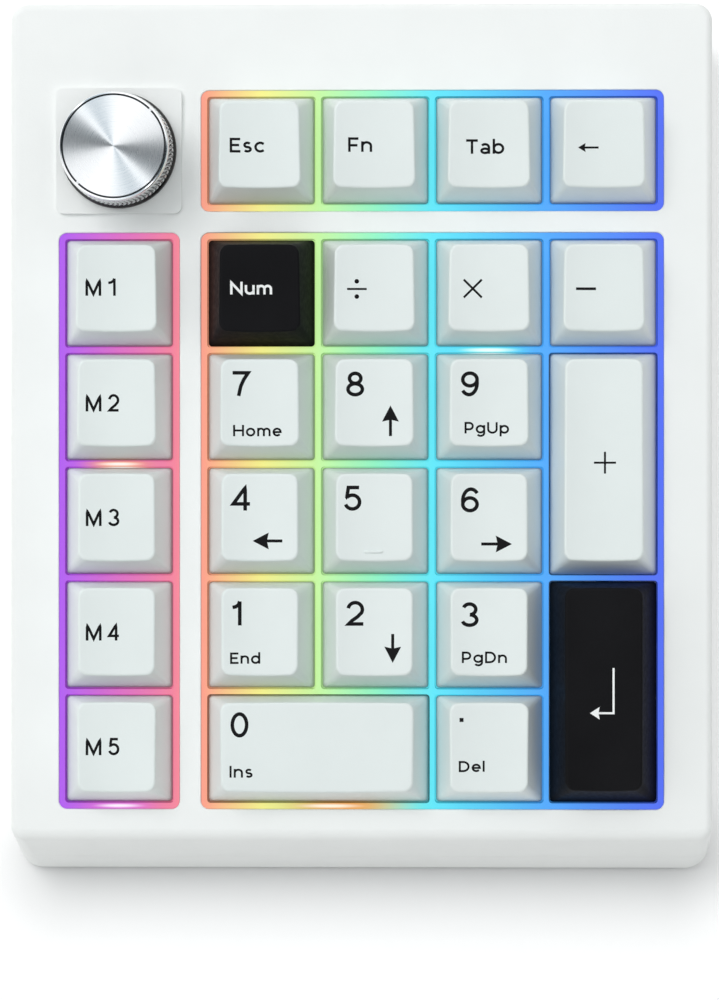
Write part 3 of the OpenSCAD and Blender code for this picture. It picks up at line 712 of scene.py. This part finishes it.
for key, cap in CAPS.items():
    shell = Shell()
    for text, left, right, base, height, width in WORDS.get(key, []):
        word(shell, cap, text, left, right, base, height, width)
    for path, width in LINES.get(key, []):
        line(shell, cap, path, width)
    for x, v, radius in DOTS.get(key, []):
        dot(shell, cap, x, v, radius)
    if key in ARROWS:
        arrow(shell, cap, *ARROWS[key])
    shell.move(cap.place)
    piece("legend_" + key, shell, cap.body, "legend_white" if key in DARK_KEYS else "legend_black", 20)

# The ridge that a finger finds on the middle key
home = CAPS["5"]
RIDGE_LEFT, RIDGE_LENGTH, RIDGE_V = -1.8, 3.3, -5.1
RIDGE_HALF, RIDGE_RISE = 0.26, 0.3
RIDGE_STEPS = 16
shell, rings = Shell(), []
for step in range(RIDGE_STEPS + 1):
    x = (RIDGE_LEFT + RIDGE_LENGTH * step / RIDGE_STEPS) * MM
    swell = math.sqrt(max(0.02, 1 - (2 * step / RIDGE_STEPS - 1) ** 8)) * MM
    ring = []
    for turn in range(12):
        angle = 2 * math.pi * turn / 12
        v = RIDGE_V * MM + RIDGE_HALF * swell * math.cos(angle)
        ring.append((x, v, home.surface(x, v) + RIDGE_RISE * swell * math.sin(angle)))
    rings.append(ring)
shell.loft(rings)
shell.move(home.place)
piece("ridge_5", shell, home.body, "cap_light", 60)

# ------ Case shells: the CAD solids, cut to an envelope with rounded edges ------
SKIN = 0.01 * MM
PART_GROOVE = 0.1 * MM
case_low, case_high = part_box("bottom_case")
CASE_TOP = plate_points("top_case")[:, 2].max()
SPLIT = plate_points("bottom_case")[:, 2].max()
HALF_W = case_high.x - SKIN
REAR_Y = case_high.y - SKIN
FRONT_Y = -case_low.y - SKIN
on_top = NODES["top_case"].data.vertices
FRONT_TOP_Y = -min(v.co.y for v in on_top if v.co.dot(OUT) - PLATE_TOP > CASE_TOP - SKIN) - SKIN
FOOT_CORNER = 4 * MM
TOP_CORNER = 2.2 * MM
REAR_CORNER = 3 * MM
CORNER_STEPS = 12
SIDE_STEPS = 6


def plan(front_y, corner, inset):
    """The case's outline seen from above, its edges moved in by inset."""
    return rounded(HALF_W - inset, front_y - inset, REAR_Y - inset, corner - inset,
                   REAR_CORNER - inset, CORNER_STEPS, SIDE_STEPS)


def at_height(outline, w):
    """Outline points set on the plane at height w above the switch plate."""
    z = (PLATE_TOP + w - outline[:, 1] * OUT.y) / OUT.z
    return np.column_stack([outline, z])


def edge_sizes(front, side):
    """Size of the rounding at each outline point: front along the front edge, side elsewhere."""
    corner = CORNER_STEPS + 1
    sizes = np.full(4 * (corner + SIDE_STEPS - 1), side)
    fade = (1 + np.cos(np.pi * np.arange(corner) / CORNER_STEPS)) / 2
    sizes[:corner] = side + (front - side) * fade
    left = 3 * (corner + SIDE_STEPS - 1)
    sizes[left:left + corner] = side + (front - side) * fade[::-1]
    sizes[left + corner:] = front
    return sizes[:, None]


LIP = 0.6 * MM
UNIT = 1 * MM
foot_plan = plan(FRONT_Y, FOOT_CORNER, 0)
foot_ring = lifted(foot_plan, case_low.z + SKIN)
foot_in = lifted((plan(FRONT_Y, FOOT_CORNER, UNIT) - foot_plan) / UNIT, 0)
top_ring = at_height(plan(FRONT_TOP_Y, TOP_CORNER, 0), CASE_TOP - SKIN)
top_in = (at_height(plan(FRONT_TOP_Y, TOP_CORNER, UNIT), CASE_TOP - SKIN) - top_ring) / UNIT
rise = top_ring - foot_ring
up = rise / np.linalg.norm(rise, axis=1)[:, None]


def wall_at(w, inset):
    """The wall's ring at height w above the plate, moved in by inset."""
    low = foot_ring @ np.array(OUT) - PLATE_TOP
    high = top_ring @ np.array(OUT) - PLATE_TOP
    return foot_ring + rise * ((w - low) / (high - low))[:, None] + foot_in * inset


def rounding(corner, wall_way, inward, sizes, steps):
    """Rings over an edge, from the wall to the flat beside it."""
    rings = []
    for step in range(steps + 1):
        angle = math.radians(90 * step / steps)
        rings.append(corner + wall_way * sizes * (1 - math.sin(angle))
                     + inward * sizes * (1 - math.cos(angle)))
    return rings


def cut(obj, tool, operation):
    """Applies an exact boolean to obj and removes the tool."""
    step = obj.modifiers.new("cut", "BOOLEAN")
    step.operation = operation
    step.solver = "EXACT"
    step.object = tool
    bpy.context.view_layer.update()
    graph = bpy.context.evaluated_depsgraph_get()
    result = bpy.data.meshes.new_from_object(obj.evaluated_get(graph))
    obj.modifiers.clear()
    obj.data = result
    bpy.data.objects.remove(tool)


def loft_object(name, rings):
    shell = Shell()
    shell.loft(rings)
    return new_object(name, shell.mesh(name, 25))


def window_tool(name, centre, half_x, half_v, radius, floor_w, edge):
    """A cutter for a window in the top of the case, flared to round the window's edge."""
    rings = []
    turns = [math.radians(15 * step) for step in range(7)]
    heights = [floor_w] + [CASE_TOP - edge * (1 - math.sin(turn)) for turn in turns] + [CASE_TOP + 1 * MM]
    for turn, w in zip([0] + turns + turns[-1:], heights):
        grow = edge * (1 - math.cos(turn)) - SKIN
        spot = rounded(half_x + grow, half_v + grow, half_v + grow, radius + grow) + centre
        rings.append(to_world(lifted(spot, w)))
    return loft_object(name, rings)


def case_shell(name, node, rings, tools):
    work = welded(node)
    mesh = bpy.data.meshes.new(name)
    work.to_mesh(mesh)
    work.free()
    obj = new_object(name, mesh)
    cut(obj, loft_object(name + "_envelope", rings), "INTERSECT")
    for tool in tools:
        cut(obj, tool, "DIFFERENCE")
    obj.data.materials.clear()
    obj.data.materials.append(MATERIALS["case_plastic"])
    for polygon in obj.data.polygons:
        polygon.material_index = 0
    finish_mesh(obj.data, 25)
    weigh = obj.modifiers.new("normals", "WEIGHTED_NORMAL")
    weigh.keep_sharp = True
    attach(obj, "case")
    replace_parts(obj, node)


WINDOW_GAP = 0.05 * MM
INLAY_GAP = 0.2 * MM
INLAY_EDGE = 0.15 * MM
INLAY_R = 1 * MM
INLAY_HOLE_R = 4.5 * MM
tools = []
for block in ("top", "macro", "numbers"):
    points = plate_points("light_frame_" + block)
    low, high = points.min(0), points.max(0)
    half = (high - low) / 2 + WINDOW_GAP
    tools.append(window_tool("window_" + block, (low + high)[:2] / 2, half[0], half[1],
                             radius=1.4 * MM, floor_w=CASE_TOP - 1.5 * MM, edge=0.3 * MM))
inlay_points = plate_points("knob_base_plate")
inlay_low, inlay_high = inlay_points.min(0), inlay_points.max(0)
inlay_centre = (inlay_low + inlay_high)[:2] / 2
inlay_half = (inlay_high[0] - inlay_low[0]) / 2
tools.append(window_tool("window_inlay", inlay_centre, inlay_half + INLAY_GAP, inlay_half + INLAY_GAP,
                         radius=INLAY_R + INLAY_GAP, floor_w=CASE_TOP - 0.7 * MM, edge=0.12 * MM))

top_sizes = edge_sizes(front=1.7 * MM, side=1.2 * MM)
lip = [wall_at(SPLIT - LIP, PART_GROOVE), wall_at(SPLIT, PART_GROOVE), wall_at(SPLIT + PART_GROOVE, 0)]
case_shell("top_shell", "top_case", lip + rounding(top_ring, -up, top_in, top_sizes, 12), tools)
lip = [wall_at(SPLIT - PART_GROOVE, 0), wall_at(SPLIT, PART_GROOVE), wall_at(SPLIT + LIP, PART_GROOVE)]
case_shell("bottom_shell", "bottom_case",
           rounding(foot_ring, up, foot_in, 0.5 * MM, 8)[::-1] + lip, [])

# The inlay under the knob, with a softened rim
shell = Shell()
rings = [lifted(rounded(inlay_half, inlay_half, inlay_half, INLAY_R) + inlay_centre, inlay_low[2])]
for step in range(5):
    angle = math.radians(90 * step / 4)
    size = inlay_half + INLAY_GAP - SKIN - INLAY_EDGE * (1 - math.cos(angle))
    rings.append(lifted(rounded(size, size, size, INLAY_R) + inlay_centre,
                        inlay_high[2] - INLAY_EDGE * (1 - math.sin(angle))))
hole = circle(INLAY_HOLE_R, len(rings[0]), math.radians(-45)) + inlay_centre
shell.hoop(rings + [lifted(hole, inlay_high[2]), lifted(hole, inlay_low[2])])
shell.move(to_world)
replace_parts(piece("inlay", shell, "case", "case_plastic", 25), "knob_base_plate")

# ------ Knob: built about its own axis, so that its brushing is circular ------
def knob_materials():
    """The brushed top and the knurled, polished side of the knob, with painted shade that darkens the knurl's
    valleys.
    """
    MATERIALS["knob_brushed"], shading = new_material("knob_brushed")
    flat = shading.vector("MULTIPLY", shading.place(), (1, 1, 0))
    radius = shading.vector("LENGTH", flat, output="Value")
    rings = shading.add("TexNoise", {"Scale": 1 / (0.12 * MM), "W": radius}, "Fac", noise_dimensions="1D")
    shading.dress({
        "Metallic": 1,
        "Anisotropic": 0.95,
        "Anisotropic Rotation": 0.25,
        "Tangent": shading.add("Tangent", {}, "Tangent", direction_type="RADIAL", axis="Z"),
        "Base Color": shading.tint(rings, srgb("E4E7E9"), srgb("EEF0F1")),
        "Roughness": shading.spread(rings, 0.27, 0.3),
        "Normal": shading.bump(rings, 0.0003 * MM),
    })
    MATERIALS["knurl"], shading = new_material("knurl")
    # painted shade: the metal is coloured near black where the knurl's surface curves inwards, in its valleys
    painted_valley_shade = shading.add("NewGeometry", {}, "Pointiness")
    shading.dress({
        "Metallic": 1,
        "Roughness": 0.17,
        "Base Color": shading.tint(shading.spread(painted_valley_shade, -4, 5), srgb("3A3D40"), srgb("EDEFF0")),
    })


knob_materials()
knob_points = plate_points("knob")
knob_low, knob_high = knob_points.min(0), knob_points.max(0)
KNOB_H = knob_high[2] - knob_low[2]


def knob_radius(share):
    """The widest radius of the CAD knob above this share of its height."""
    above = knob_points[knob_points[:, 2] > knob_low[2] + share * KNOB_H]
    return (above[:, 0].max() - above[:, 0].min()) / 2


RING_R = knob_radius(0)
KNURL_FOOT_R = knob_radius(0.16)
KNOB_R = knob_radius(0.5)
TEETH = 74
TOOTH_STEPS = 6
TOOTH_DEPTH = 0.5 * MM
KNURL_LOW = 2.3 * MM
KNURL_HIGH = KNOB_H - 1.9 * MM
KNURL_SLANT = 1 / 8.5
KNURL_FADE = 0.35 * MM
COLUMNS = TEETH * TOOTH_STEPS
BORE_R = 5.05 * MM


def knurl_radius(angles, z):
    """Radius of the knurled band: slanting ridges that fade out at both ends."""
    ridge = (1 + np.cos(TEETH * (angles + KNURL_SLANT * z / KNOB_R))) / 2
    fade = min(1, (z - KNURL_LOW) / KNURL_FADE + 0.15, (KNURL_HIGH - z) / KNURL_FADE + 0.15)
    flare = (KNURL_FOOT_R - KNOB_R) * (KNURL_HIGH - z) / (KNURL_HIGH - KNURL_LOW)
    return KNOB_R + flare - SKIN - TOOTH_DEPTH * fade * (1 - ridge)


def spun(radius, z, count=COLUMNS):
    return lifted(circle(radius, count), z)


knob_frame = Matrix((ACROSS, ALONG, OUT)).transposed().to_4x4()
knob_frame.translation = on_plate(*(knob_low[:2] + knob_high[:2]) / 2, knob_low[2])


def knob_piece(name, shell, ink, smooth_deg):
    obj = piece(name, shell, "knob", ink, smooth_deg)
    obj.matrix_world = knob_frame
    return obj


angles = 2 * math.pi * np.arange(COLUMNS) / COLUMNS
shell = Shell()
rings = [spun(BORE_R, KNURL_LOW), spun(KNOB_R - 0.5 * MM, KNURL_LOW)]
for step in range(15):
    z = KNURL_LOW + (KNURL_HIGH - KNURL_LOW) * step / 14
    radii = knurl_radius(angles, z)
    rings.append(np.column_stack([radii * np.cos(angles), radii * np.sin(angles), np.full(COLUMNS, z)]))
# The polished rim: how far in from the side and how far below the top, in millimetres
RIM = [(0.06, 1.8), (0.05, 1.2), (0.1, 0.55), (0.22, 0.3), (0.36, 0.14), (0.48, 0.1), (0.52, 0.3), (0.52, 1)]
rings += [spun(KNOB_R - inset * MM, KNOB_H - drop * MM) for inset, drop in RIM]
rings.append(spun(BORE_R, KNOB_H - 1 * MM))
shell.hoop(rings)
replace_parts(knob_piece("knob_side", shell, "knurl", 32), "knob")

shell = Shell()
FACE_R = KNOB_R - 0.8 * MM
FACE_H = KNOB_H - 0.04 * MM
FACE_STEPS = 192
profile = [(BORE_R, KNOB_H - 2.8 * MM), (BORE_R, KNOB_H - 0.99 * MM), (FACE_R, KNOB_H - 0.99 * MM),
           (FACE_R, KNOB_H - 0.08 * MM)]
profile += [((FACE_R - 0.05 * MM) * share, FACE_H) for share in (1, 0.8, 0.55, 0.3, 0.1, 0.02)]
shell.loft([spun(radius, z, FACE_STEPS) for radius, z in profile])
knob_piece("knob_face", shell, "knob_brushed", 32)

shell = Shell()
profile = [(BORE_R, 0), (RING_R - 0.3 * MM, 0), (RING_R - 0.08 * MM, 0.1 * MM), (RING_R - SKIN, 0.35 * MM),
           (RING_R - SKIN, 1.2 * MM), (RING_R - 0.12 * MM, 1.45 * MM), (KNURL_FOOT_R - 0.25 * MM, 1.9 * MM),
           (KNURL_FOOT_R - 0.6 * MM, 2.25 * MM), (BORE_R, 2.25 * MM)]
shell.hoop([spun(radius, z, FACE_STEPS // 2) for radius, z in profile])
knob_piece("knob_ring", shell, "knob_black", 40)

# ------ Switch springs ------
spring_points = plate_points("switch_springs")
SPRING_LOW, SPRING_HIGH = spring_points[:, 2].min(), spring_points[:, 2].max()
SPRING_WIRE = 0.36 * MM
SPRING_R = 1.95 * MM - SPRING_WIRE / 2
SPRING_TURNS = 12
TURN_STEPS = 14


def spring_shell(x, v):
    shell = Shell()
    count = SPRING_TURNS * TURN_STEPS
    rings = []
    for step in range(count + 1):
        turns = step / TURN_STEPS
        angle = 2 * math.pi * turns
        ends = min(turns, SPRING_TURNS - turns, 1.5) / 1.5
        share = (step / count - 0.5) * (0.9 + 0.1 * ends) + 0.5
        z = SPRING_LOW + SPRING_WIRE / 2 + (SPRING_HIGH - SPRING_LOW - SPRING_WIRE) * share
        out = np.array((math.cos(angle), math.sin(angle)))
        ring = []
        for turn in range(6):
            a = 2 * math.pi * turn / 6
            flat = out * (SPRING_R + SPRING_WIRE / 2 * math.cos(a)) + (x, v)
            ring.append((*flat, z + SPRING_WIRE / 2 * math.sin(a)))
        rings.append(ring)
    shell.loft(rings)
    shell.move(to_world)
    return shell


for key, cap in CAPS.items():
    spring = piece("spring_" + key, spring_shell(cap.x, cap.v), "case", "spring_steel", 60)
    on_plate(cap.x, cap.v, SPRING_LOW)
    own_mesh(spring)
    if key == "5":
        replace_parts(spring, "switch_springs")

# ------ Light frames: they glow, and their hue runs across the keypad ------
numbers = plate_points("light_frame_numbers")
top_row = plate_points("light_frame_top")
FRAME_W = numbers[:, 2].max()
# Places across the keypad in key widths, and the hue there
HUES = [(0, "A84FE6"), (0.5, "D765C0"), (1, "EE7C93"), (1.25, "F2987F"), (1.75, "F0EB85"), (2.25, "BFF09B"),
        (2.75, "8CEFC0"), (3.25, "55E1F2"), (4.25, "44A3F6"), (5.25, "4766F0")]
PITCH = 19.05 * MM
FIELD_UNITS = 5.25
FIELD_HALF = FIELD_UNITS * PITCH / 2


def glow_material():
    """Light that shines through the frames, with painted glints and glare over some of the lamps."""
    material, shading = new_material("light_frame")
    place = shading.place()
    across = shading.vector("DOT_PRODUCT", place, ACROSS, "Value")
    share = shading.spread(across, 0, 1, -FIELD_HALF, FIELD_HALF)
    colour = shading.ramp(share, [(unit / FIELD_UNITS, srgb(code)) for unit, code in HUES])
    low_v = numbers[:, 1].min() + 0.5 * MM
    under_m2 = CAPS["m2"].v - PITCH / 2
    under_multiply = CAPS["multiply"].v - PITCH / 2
    # Painted glints and glare: each one's x, place along, reach both ways, colour and strength
    painted_glints = [
        (-3, low_v, 14, 3, "EDA24C", 1), (-5.2, low_v, 7, 0.5, "FFF3DC", 1),
        (-40.5, low_v, 7.5, 3, "E070E0", 0.7), (-40.5, low_v, 5, 0.45, "FFF0FF", 1),
        (-40.5, under_m2, 8, 2, "F2986A", 1), (-40.5, under_m2, 5, 0.45, "FFF6F0", 1),
        (21.4, under_multiply, 8, 2, "5FF5F0", 0.8), (21.4, under_multiply, 6, 0.5, "F0FFFF", 1),
    ]
    for x, v, reach_x, reach_v, code, most in painted_glints:
        away = shading.vector("SUBTRACT", place, on_plate(x * MM, v, FRAME_W))
        away = shading.vector("MULTIPLY", away, (1 / (reach_x * MM), 1 / (reach_v * MM), 0))
        length = shading.vector("LENGTH", away, output="Value")
        fade = shading.spread(length, most, 0, 0.1, 1, interpolation_type="SMOOTHSTEP")
        colour = shading.mixed(fade, colour, srgb(code))
    normal = shading.add("NewGeometry", {}, "Normal")
    facing = shading.spread(shading.vector("DOT_PRODUCT", normal, OUT, "Value"), 0.3, 1)
    glow = shading.add("VectorMath", {0: colour, "Scale": facing}, "Vector", operation="SCALE")
    shading.dress({
        "Emission Color": glow,
        "Emission Strength": 0.85,
        "Base Color": shading.mixed(0.8, colour, (0.02, 0.02, 0.02, 1)),
        "Roughness": shading.spread(shading.noise(0.6 * MM), 0.3, 0.45),
        "Normal": shading.bump(shading.noise(0.3 * MM), 0.004 * MM),
    })
    return material


# ------ Camera, light and floor ------
FIELD_V = (numbers[:, 1].min() + top_row[:, 1].max()) / 2
CAMERA_X = 23.2 * MM
CAMERA_V = -8.4 * MM
CAMERA_DISTANCE = 900 * MM
AIM_X = -0.25 * MM

camera = new_object("camera", bpy.data.cameras.new("camera"))
camera.data.lens = 193.75
camera.data.sensor_width = 36
camera.location = on_plate(CAMERA_X, FIELD_V + CAMERA_V, FRAME_W + CAMERA_DISTANCE)
aim = on_plate(AIM_X, FIELD_V + CAMERA_V, FRAME_W) - camera.location
camera_out = -aim.normalized()
camera_up = (ALONG - camera_out * ALONG.dot(camera_out)).normalized()
camera_side = camera_up.cross(camera_out)
camera.rotation_mode = "QUATERNION"
camera.rotation_quaternion = Matrix((camera_side, camera_up, camera_out)).transposed().to_quaternion()
camera.data.clip_start = 0.05
camera.data.clip_end = 10
bpy.context.scene.camera = camera


LIGHT_AIM = Vector((0, 0, 20 * MM))


def area_light(name, place, width, energy):
    """A square lamp that points at the keypad and isn't mirrored in its metal."""
    light = new_object(name, bpy.data.lights.new(name, "AREA"))
    light.data.shape = "SQUARE"
    light.data.size = width
    light.data.energy = energy
    light.visible_glossy = False
    light.location = place
    light.rotation_mode = "QUATERNION"
    light.rotation_quaternion = (LIGHT_AIM - Vector(place)).to_track_quat("-Z", "Y")


area_light("key_light", (-0.5, 0.4, 1.25), 0.6, 7.5)
area_light("top_light", (0.2, 0.2, 1.3), 0.9, 2)

# The studio's light and its slope towards one side. Metal sees screens round a pole
# near the plate's normal: each has its degrees, colour and strength.
WORLD = 0.54
SLOPE = 0.14
SLOPE_WAY = math.radians(165)
SLOPE_TIP = math.radians(35)
SCREEN_LIGHT = 1.4
SCREEN_POLE = (-0.07, 0.065)
SCREENS = [(0, "343C42", 1), (4, "72797E", 1), (12, "E6E8EA", 1), (24, "F2F2F3", 1), (50, "F5F5F6", 1),
           (62, "FFFFFF", 1.05), (88, "FFFFFF", 1.05), (101, "D4DDE3", 1), (110, "AEBBC4", 1),
           (124, "9CA9B2", 1), (130, "FFFFFF", 1.8), (134, "FFFFFF", 1.8), (140, "79838A", 1),
           (153, "3C454B", 1), (168, "2C343A", 1)]


def studio_world():
    """A pale studio, brighter to the left; metal sees bright and dark screens instead."""
    world = bpy.data.worlds.new("studio")
    bpy.context.scene.world = world
    shading = Shading(world)
    place = shading.place("Generated")

    def toward(way):
        return shading.vector("DOT_PRODUCT", place, way, "Value")

    pole = (OUT + ACROSS * SCREEN_POLE[0] + ALONG * SCREEN_POLE[1]).normalized()
    side = (ACROSS - pole * ACROSS.dot(pole)).normalized()
    angle = shading.math("ARCTAN2", toward(pole.cross(side)), toward(side))
    turn = shading.math("FRACT", shading.math("DIVIDE", angle, math.pi), 0)
    stops = [(degrees / 180, [part * gain for part in srgb(code)]) for degrees, code, gain in SCREENS]
    screens = shading.add("Background", {"Color": shading.ramp(turn, stops), "Strength": SCREEN_LIGHT}, 0)
    slope = toward((math.cos(SLOPE_WAY) * math.cos(SLOPE_TIP), math.sin(SLOPE_WAY) * math.cos(SLOPE_TIP),
                    math.sin(SLOPE_TIP)))
    soft = shading.nodes["Background"]
    sky = shading.tint(toward((0, 0, 1)), (1, 0.985, 0.94, 1), (0.94, 0.985, 1, 1))
    shading.feed(soft.inputs["Color"], sky)
    shading.feed(soft.inputs["Strength"], shading.math("ADD", shading.math("MULTIPLY", slope, SLOPE), WORLD))
    glossy = shading.add("LightPath", {}, "Is Glossy Ray")
    both = shading.add("MixShader", {0: glossy, 1: soft.outputs[0], 2: screens}, 0)
    shading.feed(shading.nodes["World Output"].inputs["Surface"], both)


studio_world()
bpy.context.scene.view_settings.view_transform = "Standard"


# How far in from each side of the case the floor's painted shadow ends, and how far out from the front edge it
# fades
PAINTED_SHADOW_CORNER = 8 * MM
PAINTED_SHADOW_REACH = 18 * MM


def floor_material():
    """A white table top that glows, which lightens the case's shadows; the glow fades out along the case's front
    edge, a painted shadow that leaves the floor darkest there.
    """
    material, shading = new_material("floor")
    place = shading.vector("ABSOLUTE", shading.vector("ADD", shading.place(), (0, case_high.y, 0)))
    place = shading.vector("SUBTRACT", place, (case_high.x - PAINTED_SHADOW_CORNER, 0, 0))
    away = shading.vector("LENGTH", shading.vector("MAXIMUM", place), output="Value")
    shading.dress({
        "Base Color": (0.8, 0.8, 0.8, 1),
        "Roughness": 0.5,
        "Emission Color": (1, 1, 1, 1),
        "Emission Strength": shading.spread(away, 0, 0.25, 0, PAINTED_SHADOW_REACH, interpolation_type="SMOOTHSTEP"),
    })
    return material


FLOOR_HALF = 2
floor_mesh = bpy.data.meshes.new("floor")
floor_corners = [(-1, -1, 0), (1, -1, 0), (1, 1, 0), (-1, 1, 0)]
floor_mesh.from_pydata([Vector(corner) * FLOOR_HALF for corner in floor_corners], [], [(0, 1, 2, 3)])
floor_mesh.materials.append(floor_material())
new_object("floor", floor_mesh)

# ------ Finish and softened edges of the CAD nodes that show ------
MATERIALS["light_frame"] = glow_material()
MATERIALS["knob_aluminium"] = MATERIALS["knurl"]
SLOTS = {row["node"]: row["material_slot"] for row in frame["record"]["subparts"]}
SOFT_EDGES = {
    "light_frame_top": 0.12, "light_frame_macro": 0.12, "light_frame_numbers": 0.12, "flip_foot_left": 0.35,
    "flip_foot_right": 0.35, "rubber_feet": 0.2, "usb_socket": 0.06, "case_screws": 0.12, "switch_plate": 0.1,
    "switch_housings_lower": 0.12, "switch_housings_upper": 0.25, "stabilizer_housings": 0.15, "leds": 0.1,
    "controller_chip": 0.05, "encoder_body": 0.1, "encoder_bushing": 0.12, "encoder_shaft": 0.15,
    "encoder_plunger": 0.1, "knob_bush": 0.12, "plate_screws": 0.1, "switch_pins": 0.08,
}
for name, node in NODES.items():
    if node.hide_render:
        continue
    node.data.materials.clear()
    node.data.materials.append(MATERIALS[SLOTS[name]])
    if name in SOFT_EDGES:
        if "custom_normal" in node.data.attributes:
            node.data.attributes.remove(node.data.attributes["custom_normal"])
        for polygon in node.data.polygons:
            polygon.use_smooth = True
        weld = node.modifiers.new("weld", "WELD")
        weld.merge_threshold = TINY
        soften(node, SOFT_EDGES[name] * MM)
